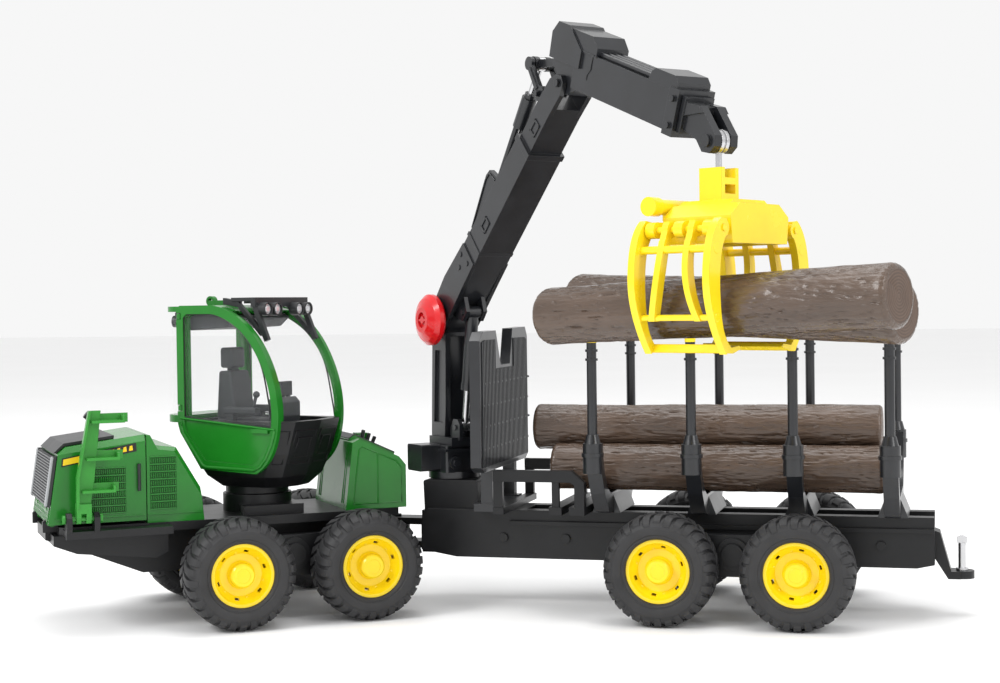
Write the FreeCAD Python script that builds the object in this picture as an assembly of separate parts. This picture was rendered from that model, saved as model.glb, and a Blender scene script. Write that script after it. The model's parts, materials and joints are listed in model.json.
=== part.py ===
import FreeCAD, Part
import math
import os

# Toy forestry forwarder, 1:16 size: an eight-wheel articulated carrier with a
# slewing cab, a knob-raised log crane, a swinging grapple and a bunk of logs.
# Millimetres, +Z up, +X from the middle towards the tow hitch. The front
# section stands steered, the crane is slewed to the left side with two logs.

V = FreeCAD.Vector
X, Y, Z = V(1, 0, 0), V(0, 1, 0), V(0, 0, 1)

# ---- driving dimensions ------------------------------------------------------
WHEEL_R = 37.0          # tyre outside radius
TYRE_W = 37.0           # tyre width
RIM_R = 21.0            # rim outside radius, tyre bead
TRACK_HALF = 72.5       # vehicle centre to wheel centre
BASE_HALF = 44.5        # bogie pivot to wheel centre
BOGIE_Z = 44.0          # bogie pivot height
AXLE_R = 2.5            # wheel axle pin
RUN = 0.05              # radial running clearance of shafts in bores
GAP = 0.4               # side clearance between moving pieces
LOOSE_BORE_R = 3.5      # bores of the linkage's floating pivots

STEER_DEG = 37.0        # front section's angle at rest
STEER_POS = V(-251.2, 0, 0)         # steering pivot
STEER_X = 91.2          # the same pivot, behind the middle of the front bogies
CAB_X = -13.0           # cab turntable along the front section
CAB_DEG = -15.0         # way the cab faces
COLUMN_X = -207.0       # crane column
CRANE_DEG = -45.0       # way the crane points
BOOM_PIVOT = (2.0, 202.0)           # in the crane's plane: reach, height
BOOM_DEG = 42.4
BOOM_LEN = 222.0
JIB_DEG = -20.0
TIP = (158.0, 4.0)      # grapple pin in the jib's frame
LIFT_FOOT = (16.0, 125.0)           # lift rod's lower pin, in the crane's plane
LIFT_LUG = (24.0, -15.0)            # lift cylinder's upper pin, in the boom's frame
GUIDE_FOOT = (200.0, 15.4)          # guide link's pin on the boom
GUIDE_TOP = (205.0, 39.5)           # guide link's free end, in the boom's frame
FOLD_FOOT = (108.0, 19.0)           # fold cylinder's pin on the boom
COUPLER_END = (-13.0, 11.0)         # coupler's pin on the jib, in the jib's frame
GRAPPLE_DEG = -27.0     # way the held logs lie

STAKE_X = (-90.0, -24.0, 42.0, 103.0)
STAKE_Y = 70.5
STAKE_R = 3.3
LOG_R = 16.5
HELD_R = 17.5


# ---- frames ------------------------------------------------------------------
def frame_at(origin, degrees):
    return FreeCAD.Placement(origin, FreeCAD.Rotation(Z, degrees))


def tilted(parent, origin, degrees):
    """A frame in the crane's plane, x turned up by degrees."""
    local = FreeCAD.Placement(origin, FreeCAD.Rotation(Y, -degrees))
    return parent.multiply(local)


def point_in(frame, reach, height, side=0.0):
    return frame.multVec(V(reach, side, height))


WAGON = frame_at(V(0, 0, 0), 0)
FRONT = frame_at(STEER_POS, STEER_DEG).multiply(frame_at(V(-STEER_X, 0, 0), 0))
CAB = frame_at(FRONT.multVec(V(CAB_X, 0, 0)), CAB_DEG)
CRANE = frame_at(V(COLUMN_X, 0, 0), CRANE_DEG)
BOOM = tilted(CRANE, V(BOOM_PIVOT[0], 0, BOOM_PIVOT[1]), BOOM_DEG)
ELBOW = BOOM.multVec(V(BOOM_LEN, 0, 0))
JIB = FreeCAD.Placement(ELBOW, CRANE.Rotation.multiply(FreeCAD.Rotation(Y, -JIB_DEG)))
TIP_POINT = JIB.multVec(V(TIP[0], 0, TIP[1]))
GRAPPLE = frame_at(TIP_POINT, GRAPPLE_DEG)


# ---- shape helpers -----------------------------------------------------------
def box(x0, x1, y0, y1, z0, z1):
    return Part.makeBox(x1 - x0, y1 - y0, z1 - z0, V(x0, y0, z0))


def rod(start, end, radius):
    along = end.sub(start)
    return Part.makeCylinder(radius, along.Length, start, along)


def disc_y(x, z, y0, y1, radius):
    return Part.makeCylinder(radius, y1 - y0, V(x, y0, z), Y)


def prism(points, along):
    face = Part.Face(Part.makePolygon(points + [points[0]]))
    return face.extrude(along)


def prism_y(outline, y0, y1):
    return prism([V(x, y0, z) for x, z in outline], V(0, y1 - y0, 0))


def prism_x(outline, x0, x1):
    return prism([V(x0, y, z) for y, z in outline], V(x1 - x0, 0, 0))


def prism_z(outline, z0, z1):
    return prism([V(x, y, z0) for x, y in outline], V(0, 0, z1 - z0))


def loop_y(wire, y0, y1):
    return Part.Face(wire).extrude(V(0, y1 - y0, 0))


def curve(points):
    spline = Part.BSplineCurve()
    spline.interpolate(points)
    return spline.toShape()


def line(a, b):
    return Part.LineSegment(a, b).toShape()


def join(*shapes):
    body = shapes[0].multiFuse(list(shapes[1:]))
    return body.removeSplitter()


def soften(shape, radius, direction=None):
    """Rounds the straight edges that run along a direction, or all of them."""
    edges = []
    for edge in shape.Edges:
        if edge.Curve.TypeId != "Part::GeomLine":
            continue
        if direction is None or edge.tangentAt(edge.FirstParameter).cross(direction).Length < 0.01:
            edges.append(edge)
    return shape.makeFillet(radius, edges)


def mirrored_y(shape):
    return shape.mirror(V(0, 0, 0), Y)


def turned(profile, axis_point=V(0, 0, 0), axis=Y):
    """Solid of revolution from (radius, along) pairs about the Y axis."""
    points = [V(radius, along, 0) for radius, along in profile]
    face = Part.Face(Part.makePolygon(points + [points[0]]))
    return face.revolve(axis_point, axis, 360)


def hinge_eye(x, z, y0, y1, outer, bore):
    return disc_y(x, z, y0, y1, outer).cut(disc_y(x, z, y0 - 1, y1 + 1, bore))


# ---- wheels: outside face towards -Y, centre at the origin --------------------
def make_tyre():
    half = TYRE_W / 2
    crown = 1.2
    shoulder = 5.0
    lip = (RIM_R, -half + 4)
    outline = [
        V(*lip, 0), V(RIM_R + 2.5, -half + 0.8, 0), V(WHEEL_R - 9, -half, 0),
        V(WHEEL_R - shoulder, -half + 1, 0), V(WHEEL_R - crown, -half + 5, 0), V(WHEEL_R, -half + 10, 0)]
    edges = [line(a, b) for a, b in zip(outline, outline[1:])]
    far = [V(p.x, -p.y, 0) for p in reversed(outline)]
    edges.append(line(outline[-1], far[0]))
    edges += [line(a, b) for a, b in zip(far, far[1:])]
    bead, wall = 4.0, 3.5
    cavity = [V(RIM_R, half - 4 - bead, 0), V(RIM_R + wall, half - wall, 0), V(WHEEL_R - 9, half - wall, 0),
              V(WHEEL_R - 4.5, half - 9, 0)]
    cavity += [V(p.x, -p.y, 0) for p in reversed(cavity)]
    edges.append(line(far[-1], cavity[0]))
    edges += [line(a, b) for a, b in zip(cavity, cavity[1:])]
    edges.append(line(cavity[-1], outline[0]))
    return Part.Face(Part.Wire(edges)).revolve(V(0, 0, 0), Y, 360)


def make_rim():
    half = TYRE_W / 2
    face = -half + 4
    dish = turned([
        (0.01, face - 1), (7.0, face - 1), (8.0, face), (8.2, face + 5), (9.4, face + 6.6), (14, face + 6.6),
        (17.6, face + 2.4), (18.8, face), (RIM_R, face), (RIM_R, half - 4), (19.2, half - 4),
        (19.2, face + 5), (15, face + 9.6), (7, face + 9.6), (5.5, half - 6), (0.01, half - 6)])
    bore = disc_y(0, 0, face + 5, half, AXLE_R + RUN)
    slots = []
    for k in range(6):
        slot = box(-1.5, 1.5, face - 2, face + 20, 15.3, 16.8)
        slot.rotate(V(0, 0, 0), Y, 60 * k + 12)
        slots.append(slot)
    return dish.cut(bore).cut(Part.makeCompound(slots))


def place_wheel(shape, x, side):
    wheel = shape.copy() if side < 0 else mirrored_y(shape)
    wheel.translate(V(x, side * TRACK_HALF, WHEEL_R))
    return wheel


# ---- bogies: beam swinging on the frame's stub shaft, with two axle pins ------
STUB_R = 5.0
BEAM_IN, BEAM_OUT = 43.5, 50.0


def make_bogie():
    beam_outline = [
        (-52, 36), (-50, 29), (50, 29), (52, 36), (50, 45), (22, 57), (-22, 57), (-50, 45)]
    beam = prism_y(beam_outline, -BEAM_OUT, -BEAM_IN)
    beam = soften(beam, 3.0, Y)
    hub = disc_y(0, BOGIE_Z, -BEAM_OUT - 2.5, -BEAM_OUT + 1, 11)
    bosses = [disc_y(x, WHEEL_R, -BEAM_OUT - 2.5, -BEAM_OUT + 1, 6) for x in (-BASE_HALF, BASE_HALF)]
    beam = join(beam, hub, *bosses)
    beam = beam.cut(disc_y(0, BOGIE_Z, -60, -40, STUB_R + RUN))
    for x in (-BASE_HALF, BASE_HALF):
        beam = beam.cut(disc_y(x, WHEEL_R, -60, -40, AXLE_R))
    solids = [beam]
    for x in (-BASE_HALF, BASE_HALF):
        solids.append(disc_y(x, WHEEL_R, -TRACK_HALF - 8.0, -BEAM_IN, AXLE_R))
    return Part.makeCompound(solids)


def belly_cells(x0, x1, half, z0, z1):
    """Open moulding cells under a frame member, with webs between them."""
    pitch = 54.0
    web = 4.0
    count = int((x1 - x0) // pitch)
    return Part.makeCompound([
        box(x0 + pitch * k, x0 + pitch * (k + 1) - web, -half, half, z0, z1) for k in range(count)])


def bogie_shaft():
    """Cross shaft with spacers up to the beams and retaining heads outside them."""
    shaft = disc_y(0, BOGIE_Z, -BEAM_OUT - 5, BEAM_OUT + 5, STUB_R)
    spacer = disc_y(0, BOGIE_Z, -BEAM_IN + GAP, BEAM_IN - GAP, 9)
    heads = []
    for side in (-1, 1):
        inner, outer = BEAM_OUT + 2.5 + GAP, BEAM_OUT + 5.0
        lo, hi = (inner, outer) if side > 0 else (-outer, -inner)
        heads.append(disc_y(0, BOGIE_Z, lo, hi, 7.5))
    return join(shaft, spacer, *heads)


# ---- front section, x from the nose rearwards ----------------------------------
DECK_Z = 70.0
HOOD_HALF = 43.0
HOOD_REAR_X = -98.7
HOOD_HINGE = (-158.5, 71.5)
LADDER_HINGE = (-57.0, 77.0)        # y, z of the ladder's fold axis
LADDER_X = -142.0


def make_front_frame():
    side = [(-162, 68), (-162, 60), (-146, 54), (-98, 34), (74, 34), (74, 64), (-146, 68)]
    beam = prism_y(side, -22, 22).cut(belly_cells(-94, 16, 18, 30, 60))
    deck = prism_z([(-155, -38), (-152, -43), (60, -43), (80, -36), (80, 36), (60, 43), (-152, 43), (-155, 38)],
                   64, DECK_Z)
    skirt = prism_y([(-159, 64.5), (-159, 58), (-144, 52), (-92, 46), (-84, 50), (-84, 64.5)], -41, 41)
    step = box(-153, -84, -60, 60, 64, DECK_Z - 1)
    frame = join(beam, deck, skirt, step, bogie_shaft())
    pads = join(box(-30, 12, -32, 32, DECK_Z - 1, 76), Part.makeCylinder(24, 13.5, V(CAB_X, 0, DECK_Z - 1)))
    lugs = []
    for x0, x1 in ((-153, -149.4), (-135.4, -131.8)):
        lug = prism_x([(-59, 66), (-50, 66), (-52, 78), (-55, 81), (-59, 81), (-62, 78), (-62, 71)], x0, x1)
        lugs.append(lug)
    cheeks = []
    for y0, y1 in ((-30, -26.4), (26.4, 30)):
        cheeks.append(prism_y([(-164.5, 66), (-150.5, 66), (-152.5, 74), (-156.5, 76.5), (-160.5, 76.5), (-164.5, 73)],
                              y0, y1))
    frame = join(frame, pads, *(lugs + cheeks))
    ladder_pin = Part.makeCylinder(1.8 + RUN, 40, V(-164, LADDER_HINGE[0], LADDER_HINGE[1]), X)
    hood_pin = disc_y(HOOD_HINGE[0], HOOD_HINGE[1], -35, 35, 2.0 + RUN)
    roll_bore = Part.makeCylinder(5.0 + RUN, 60, V(40, 0, 48), X)
    turn_bore = Part.makeCylinder(10.0 + RUN, 30, V(CAB_X, 0, 66), Z)
    tail_posts = box(58, 78, -20, 20, DECK_Z - 1, 74)
    return join(frame, tail_posts).cut(ladder_pin).cut(hood_pin).cut(roll_bore).cut(turn_bore)


def hood_shell(outline, half, wall):
    """A moulded cover: raised outline across the machine, with a wall and an open bottom."""
    outer = prism_y(outline, -half, half)
    low = min(z for x, z in outline)
    cx = sum(x for x, z in outline) / len(outline)
    inner_outline = []
    for x, z in outline:
        step_x = wall if x < cx else -wall
        inner_outline.append((x + step_x, z - 1 if z == low else z - wall))
    inner = prism_y(inner_outline, -half + wall, half - wall)
    return outer.cut(inner)


def chamfer_long_tops(shape, half, z_limit, size):
    """Bevels the two upper long edges of a cover."""
    edges = []
    for edge in shape.Edges:
        middle = edge.valueAt((edge.FirstParameter + edge.LastParameter) / 2)
        if abs(abs(middle.y) - half) < 0.01 and middle.z > z_limit and edge.Length > 12:
            edges.append(edge)
    return shape.makeChamfer(size, edges)


def make_hood():
    outline = [(-162.5, DECK_Z + 2), (-155.5, 118), (-150, 122.5), (HOOD_REAR_X, 129), (HOOD_REAR_X, DECK_Z + 2)]
    shell = hood_shell(outline, HOOD_HALF, 2.6)
    shell = chamfer_long_tops(shell, HOOD_HALF, 110, 4.0)
    keep = box(-180, -90, -60, 60, DECK_Z + 0.4, 140)
    relief = box(-180, -149, -31, 31, DECK_Z, 79)
    ears = []
    for y0, y1 in ((-26, -22), (22, 26)):
        ears.append(prism_y([(-161.5, 70.6), (-156.5, 70.6), (-154, 74), (-154.5, 82), (-162, 82)], y0, y1))
    pin = disc_y(HOOD_HINGE[0], HOOD_HINGE[1], -30.5, 30.5, 2.0)
    hood = join(shell.common(keep).cut(relief), *ears)
    return join(hood, pin)


def make_hood_trim():
    """Front grille frame with bars, top panel, exhaust and side grab handles."""
    solids = []
    posts = []
    for y0, y1 in ((-42.0, -36.0), (36.0, 42.0)):
        posts.append(prism_y([(-163.7, 84), (-161.0, 84), (-156.0, 117), (-158.7, 117)], y0, y1))
    grille = prism_y([(-163.2, 84.5), (-161.0, 84.5), (-156.1, 116.5), (-158.3, 116.5)], -36.5, 36.5)
    solids.append(join(grille, *posts))
    panel = prism_y([(-157.6, 118.4), (-150.8, 124.7), (-118, 128.8), (-118, 126.8), (-150.2, 122.8), (-155.4, 118.6)],
                    -35, 35)
    pipe_end = V(-123, 14, 127.2)
    circle = Part.Face(Part.Wire(Part.makeCircle(2.6, pipe_end, Z)))
    solids.append(join(panel, circle.revolve(V(-140, 14, 127.2), Y.negative(), 52)))
    for side in (-1, 1):
        y = side * (HOOD_HALF + 2.2)
        grip = rod(V(-103.5, y, 92), V(-103.5, y, 110), 1.1)
        lo, hi = sorted((side * HOOD_HALF, y + side * 0.4))
        feet = [box(-104.3, -102.7, lo, hi, z, z + 2) for z in (92.4, 107.6)]
        solids.append(join(grip, *feet))
    return Part.makeCompound(solids)


def make_engine_block():
    block = box(-141, -111, -18, 18, DECK_Z, 100)
    sump = box(-138, -117, -13, 13, 100, 108)
    rocker = soften(box(-137, -124, -8, 8, 108, 115), 2.0, X)
    cooler = box(-148, -144, -24, 24, DECK_Z, 112)
    fan = Part.makeCylinder(15, 3.2, V(-144.1, 0, 92), X)
    return join(block, sump, rocker, cooler, fan)


def make_rear_cowl():
    outline = [(HOOD_REAR_X + 0.6, DECK_Z), (HOOD_REAR_X + 0.6, 128.8), (-95.5, 128.4), (-92, 121.5),
               (-78, 119.5), (-62, 92), (-60, DECK_Z)]
    cowl = prism_y(outline, -HOOD_HALF, HOOD_HALF)
    hollow = prism_y([(HOOD_REAR_X - 1, DECK_Z + 4), (HOOD_REAR_X - 1, 125.4), (-97.4, 125.4), (-94, 118.6),
                      (-80, 116.6), (-66, 92), (-64, DECK_Z + 4)], -HOOD_HALF + 2.6, HOOD_HALF - 2.6)
    cowl = cowl.cut(hollow)
    return chamfer_long_tops(cowl, HOOD_HALF, 105, 2.5)


def make_ladder():
    """Folding ladder: a plate stringer leaning rearwards with three treads, on a cross pin at its foot."""
    y_foot, z_foot = LADDER_HINGE
    x0, x1 = LADDER_X - 4.6, LADDER_X + 5.0
    stringer = prism_y([(x0, 84), (x1 - 0.6, 84), (x1 + 2.4, 104), (x1 + 7.0, 147), (x0 + 8.6, 147), (x0 + 0.4, 104)],
                       -59.6, -56.8)
    lip = prism_y([(x0, 84), (x0 + 1.8, 84), (x0 + 2.2, 104), (x0 + 10.2, 147), (x0 + 8.6, 147), (x0 + 0.4, 104)],
                  -62.4, -56.8)
    foot = prism_x([(-61, 78), (-59, 74), (-55, 74), (-53.5, 78), (-54, 87), (-62, 87)], x0, x1)
    foot = foot.cut(box(LADDER_X - 1.6, LADDER_X + 1.6, -66, -50, 70, 80.5))
    treads = []
    for z, start in ((94, 0.0), (115, 3.0), (139, 6.5)):
        left = LADDER_X + start - 1
        floor = box(left, left + 21, -66.0, -56.8, z, z + 1.8)
        back_lip = box(left, left + 24, -58.2, -56.8, z, z + 6)
        end_lip = box(left + 19.4, left + 21, -66.0, -56.8, z, z + 4.8)
        treads.append(join(floor, back_lip, end_lip))
    ladder = join(stringer, lip, foot, *treads)
    pin = Part.makeCylinder(1.8, 25, V(LADDER_X - 12.8, y_foot, z_foot), X)
    heads = [Part.makeCylinder(2.8, 1.8, V(x, y_foot, z_foot), X) for x in (LADDER_X - 13.2, LADDER_X + 10.6)]
    return join(ladder, pin, *heads)


def make_tail_cover():
    outline = [(40.4, DECK_Z), (46, 117), (51, 119.5), (80, 106), (85, 100), (85, DECK_Z)]
    cover = prism_y(outline, -39, 39)
    hollow = prism_y([(43.8, DECK_Z - 1), (49, 114), (52, 116), (78, 103), (82, 99), (82, DECK_Z - 1)], -36, 36)
    cover = cover.cut(hollow)
    panel = prism_y([(47, 118.4), (51.5, 121.3), (81, 107.6), (79.5, 104.8), (51, 117.5)], -26, 26)
    levers = [rod(V(58 + 7 * k, -18 + 12 * k, 113 - 3 * k), V(60 + 8 * k, -20 + 12 * k, 124 - 3.4 * k), 1.2)
              for k in range(3)]
    knob = soften(box(59, 68, -5, 4, 112, 121), 1.0, Z)
    return join(cover, panel, knob, *levers)


# ---- cab, x the way it faces, door on the -Y side ------------------------------
SILL_Z = 135.0
DOOR_Y = -38.0
DOOR_T = 3.4
DOOR_HINGE = (-37.4, -36.3)
DOOR_EAR_Z = (140.8, 205.0)
PIN_R = 1.0


def side_outline(inset, y):
    """The side frame's outline: straight rear post, arched top and front, keel bottom."""
    i = inset
    post = [V(-39 + i, y, 212 - i), V(-39 + i, y, 132)]
    keel = [V(-37 + i, y, 126), V(-19 + i * 0.6, y, 101 + i)]
    arch = [V(29 - i * 0.5, y, 99 + i), V(40.5 - i, y, 109 + i * 0.5), V(48.5 - i, y, 132),
            V(40 - i * 0.93, y, 176 - i * 0.3), V(25 - i * 0.75, y, 198 - i * 0.7), V(6 - i * 0.4, y, 211 - i),
            V(-8, y, 214.5 - i)]
    top = V(-36 + i, y, 214.5 - i)
    edges = [line(post[0], post[1]), line(post[1], keel[0]), line(keel[0], keel[1]), line(keel[1], arch[0]),
             curve(arch), line(arch[-1], top), line(top, post[0])]
    return Part.Wire(edges)


def side_slab(inset, y0, y1):
    return loop_y(side_outline(inset, y0), y0, y1)


def below_sill(y0, y1):
    """Everything under the side window's sill, which drops towards the front."""
    return prism_y([(-60, 90), (60, 90), (60, SILL_Z - 6.5), (-60, SILL_Z + 3.0)], y0, y1)


def make_door():
    slab = side_slab(0, DOOR_Y, DOOR_Y + DOOR_T)
    rim_in = side_slab(6.0, DOOR_Y - 1, DOOR_Y + DOOR_T + 1)
    panel_zone = below_sill(DOOR_Y + 1.2, DOOR_Y + DOOR_T)
    panel = side_slab(5.0, DOOR_Y + 1.2, DOOR_Y + DOOR_T).common(panel_zone)
    door = join(slab.cut(rim_in), panel)
    handle = box(26, 40, DOOR_Y - 0.6, DOOR_Y + 1.6, 127, 130)
    bore = Part.makeCylinder(PIN_R + RUN, 140, V(*DOOR_HINGE, 90), Z)
    rooms = [Part.makeCylinder(3.0, 4.4, V(*DOOR_HINGE, z), Z) for z in DOOR_EAR_Z]
    return join(door, handle).cut(bore).cut(Part.makeCompound(rooms))


def make_door_window():
    pane = side_slab(6.0, DOOR_Y + 1.2, DOOR_Y + 2.4)
    return pane.cut(below_sill(DOOR_Y, DOOR_Y + 4))


def bay_slab(inset, z0, z1):
    """Plan shape of the rear window bay, rounded at both corners."""
    i = inset
    near = [V(-38, -32 + i, z0), V(-47, -32 + i, z0), V(-56.6 + 0.7 * i, -26.4 + 0.7 * i, z0), V(-60 + i, -15, z0)]
    far = [V(p.x, -p.y, p.z) for p in near]
    edges = [line(near[0], near[1]), Part.Arc(near[1], near[2], near[3]).toShape(), line(near[3], far[3]),
             Part.Arc(far[3], far[2], far[1]).toShape(), line(far[1], far[0]), line(far[0], near[0])]
    return Part.Face(Part.Wire(edges)).extrude(V(0, 0, z1 - z0))


def make_cab_frame():
    """Far side frame, near side jamb, roof, rear bay sill and the lifting strip."""
    far = side_slab(0, 34.6, 38).cut(side_slab(6.0, 33, 39))
    far_panel = side_slab(5.0, 34.6, 36.8).common(below_sill(34.6, 36.8))
    jamb = side_slab(1.2, -33.2, -30.6).cut(side_slab(6.5, -35, -30))
    jamb = jamb.common(box(-60, 60, -35, -30, SILL_Z, 220))
    roof = prism_y([(-36, 214.5), (-39, 212), (-39, 209), (4, 208.5), (8, 210.4), (-8, 214.5)], -33.2, 38)
    bay_sill = bay_slab(0.0, 132.5, 137.5)
    bay_roof = bay_slab(0.0, 210.2, 214.0)
    rear_posts = [box(-39, -35, y0, y1, 132, 212) for y0, y1 in ((-33.2, -27.5), (27.5, 38))]
    rear_sill = box(-39, -36, -33.2, 38, 131, 137.5)
    strip = box(-30, -6, -14, -6, 214, 218)
    ring = disc_y(-30, 217.5, -12, -8, 3.6).cut(disc_y(-30, 217.5, -13, -7, 2.0))
    ears = []
    for room_z in DOOR_EAR_Z:
        z0, z1 = room_z + GAP, room_z + 4.4 - GAP
        ear = Part.makeCylinder(2.0, z1 - z0, V(*DOOR_HINGE, z0), Z)
        ears.append(join(ear, box(-38.4, -36.4, DOOR_HINGE[1], -30, z0, z1)))
    pin = Part.makeCylinder(PIN_R, 68, V(*DOOR_HINGE, 141), Z)
    return join(far, far_panel, jamb, roof, bay_sill, bay_roof, rear_sill, strip, ring, pin, *(rear_posts + ears))


def arc_wall(x0, z0, x1, z1, bulge, y0, y1, thick):
    """A curved pane between two heights, constant across the cab."""
    mid = V((x0 + x1) / 2 + bulge, y0, (z0 + z1) / 2 + bulge)
    outer = Part.Arc(V(x0, y0, z0), mid, V(x1, y0, z1)).toShape()
    inner = Part.Arc(V(x1 - thick, y0, z1 - thick * 0.4), V(mid.x - thick, y0, mid.z - thick * 0.4),
                     V(x0 - thick, y0, z0)).toShape()
    wire = Part.Wire([outer, line(V(x1, y0, z1), V(x1 - thick, y0, z1 - thick * 0.4)), inner,
                      line(V(x0 - thick, y0, z0), V(x0, y0, z0))])
    return loop_y(wire, y0, y1)


def make_cab_glazing():
    screen = arc_wall(46.5, 138.2, 22, 196.5, 4.5, -30.4, 34.0, 1.4)
    roof_light = arc_wall(21.6, 197.0, 6.8, 207.6, 1.4, -30.4, 34.0, 1.4)
    side = side_slab(6.0, 35.2, 36.4).cut(below_sill(34, 38))
    bay = bay_slab(1.0, 137.6, 210.1).cut(bay_slab(2.4, 130, 215)).common(box(-70, -39.4, -33, 33, 130, 215))
    return Part.makeCompound([screen, roof_light, side, bay])


def make_cab_tub():
    """Boat-shaped cab floor on a short turntable spigot."""
    rings = []
    for z, x0, x1, half in ((88.0, -15, 36, 22), (96.0, -22, 43, 31), (112.0, -33, 50, 34), (134.5, -40.5, 57, 34.2)):
        corners = [V(x0, -half * 0.9, z), V(x0 + 3, -half, z), V(x1 - 12, -half, z), V(x1 - 3, -half * 0.74, z),
                   V(x1, 0, z), V(x1 - 3, half * 0.74, z), V(x1 - 12, half, z), V(x0 + 3, half, z),
                   V(x0, half * 0.9, z)]
        rings.append(Part.makePolygon(corners + [corners[0]]))
    hull = Part.makeLoft(rings, True, True)
    well = box(-30, 30, -28, 28, 112, 140)
    rim = prism_z([(30, -28), (46, -24), (52, 0), (46, 24), (30, 28)], 125, 140)
    hull = hull.cut(join(well, rim))
    spigot = Part.makeCylinder(10.0, 18, V(0, 0, 70.6), Z)
    flange = Part.makeCylinder(22, 5.4, V(0, 0, 83.0), Z)
    return join(hull, spigot, flange)


def make_cab_interior():
    """Seat with head rest, arm consoles with sticks, dashboard and floor pad."""
    floor = box(-29.5, 29.5, -27.5, 27.5, 112, 115)
    base = box(-22, 6, -9, 9, 115, 127)
    cushion = soften(box(-27, 12, -12, 12, 127, 135), 2.5)
    back = prism_y([(-27, 134), (-8, 134), (-14, 168), (-24.5, 168)], -11, 11)
    back = soften(back, 2.0)
    head = soften(box(-25.5, -15, -8, 8, 170, 184.5), 2.0)
    neck = box(-22, -18, -4, 4, 166, 171)
    seat = join(base, cushion, back, neck, head, floor)
    arms = []
    for side in (-1, 1):
        lo, hi = sorted((side * 13.0, side * 19.0))
        arm = soften(box(-14, 14, lo, hi, 138, 143), 1.5, X)
        post = box(-12, -6, lo + 1, hi - 1, 114, 139)
        stick = rod(V(10, side * 16, 142), V(13, side * 16, 151), 1.2)
        ball = Part.makeSphere(2.4, V(13.3, side * 16, 152))
        arms.append(join(arm, post, stick, ball))
    dash = soften(prism_y([(22, 114), (29, 114), (29, 146), (25, 150), (21, 148)], -13, 13), 1.5, Y)
    screen = box(14, 17, 8, 20, 150, 160)
    screen_post = box(15, 17, 15, 18, 142, 151)
    return join(seat, dash, screen, screen_post, *arms)


LAMP_Y = (-22.0, -11.0, 14.0, 24.0)


def make_roof_rack():
    bar = box(19, 23, -28, 32, 213.0, 217.0)
    top = box(-6, 23, -4, 8, 215.5, 219.5)
    plate = box(2, 23, -28, 32, 217.0, 219.5)
    plate = plate.cut(box(6, 19, -24, -6, 214, 222)).cut(box(6, 19, 10, 28, 214, 222))
    legs = []
    for y in (-27, 28):
        legs.append(prism_y([(19, 214), (23, 214), (33, 190.5), (29.5, 189)], y, y + 3))
        legs.append(prism_y([(3, 217), (7, 217), (28, 196), (26, 193)], y, y + 3))
    feet = [prism_y([(-6, 215), (6, 213), (8, 217), (-6, 219.5)], y, y + 4) for y in (-27, 27)]
    rack = join(bar, top, plate, *(legs + feet))
    solids = [rack]
    for y in LAMP_Y:
        shell = Part.makeCylinder(4.6, 7, V(23, y, 211.4), X)
        hollow = Part.makeCylinder(3.8, 5, V(26, y, 211.4), X)
        solids.append(shell.cut(hollow))
        lens = Part.makeCylinder(3.8, 2.2, V(26, y, 211.4), X)
        solids.append(lens)
    return Part.makeCompound(solids)


# ---- articulation ------------------------------------------------------------
def make_yoke():
    """Steering pin with an eye, and the roll shaft that enters the front frame."""
    eye = Part.makeCylinder(9, 11.2, V(STEER_X, 0, 42.4), Z)
    pin = Part.makeCylinder(3.0, 25, V(STEER_X, 0, 35.5), Z)
    neck = box(78, STEER_X, -6, 6, 43, 53)
    collar = Part.makeCylinder(8, 3.2, V(75, 0, 48), X)
    shaft = Part.makeCylinder(5.0, 32, V(45, 0, 48), X)
    return join(eye, pin, neck, collar, shaft)


# ---- rear section --------------------------------------------------------------
FRAME_TOP = 67.4
FRAME_END = 129.5
HITCH_X = 147.0
HITCH_R = 2.5


def make_rear_frame():
    side = [(-226, 38), (-226, 60), (-221, FRAME_TOP), (FRAME_END, FRAME_TOP), (FRAME_END, 36), (118, 33.5), (-200, 33.5)]
    spine = prism_y(side, -22, 22).cut(belly_cells(-172, 108, 18, 30, 56))
    channel = box(-150, FRAME_END + 1, -12, 12, 61, 70)
    spine = spine.cut(channel)
    ledge = box(-160, FRAME_END, -24.5, 24.5, 57, 60)
    pedestal = prism_x([(-19, 60), (19, 60), (22, 88), (-22, 88)], -224, -184)
    pedestal = soften(pedestal, 2.0, Z.cross(X))
    waist = box(-226, -182, -20, 20, 36, 66)
    steer_x = STEER_POS.x
    ears = []
    for z0, z1 in ((37.2, 42.0), (54.0, 58.8)):
        ear = join(Part.makeCylinder(9, z1 - z0, V(steer_x, 0, z0), Z), box(steer_x, -220, -9, 9, z0, z1))
        ears.append(ear)
    bosses = [disc_y(x, 48, -24, 24, 3.2) for x in (-165, -120, 95)]
    hitch = prism_y([(FRAME_END - 2, 58), (133, 56), (140, 30), (146, 30), (146, 25), (138, 25), (126, 44)], -9, 9)
    cup = Part.makeCylinder(8, 5, V(HITCH_X, 0, 25), Z)
    slew_bore = Part.makeCylinder(8.0 + RUN, 30, V(COLUMN_X, 0, 62), Z)
    pin_bore = Part.makeCylinder(HITCH_R + RUN, 20, V(HITCH_X, 0, 20), Z)
    steer_bore = Part.makeCylinder(3.0 + RUN, 40, V(steer_x, 0, 30), Z)
    frame = join(spine, ledge, pedestal, waist, bogie_shaft(), hitch, cup, *(ears + bosses))
    return frame.cut(slew_bore).cut(pin_bore).cut(steer_bore)


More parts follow.
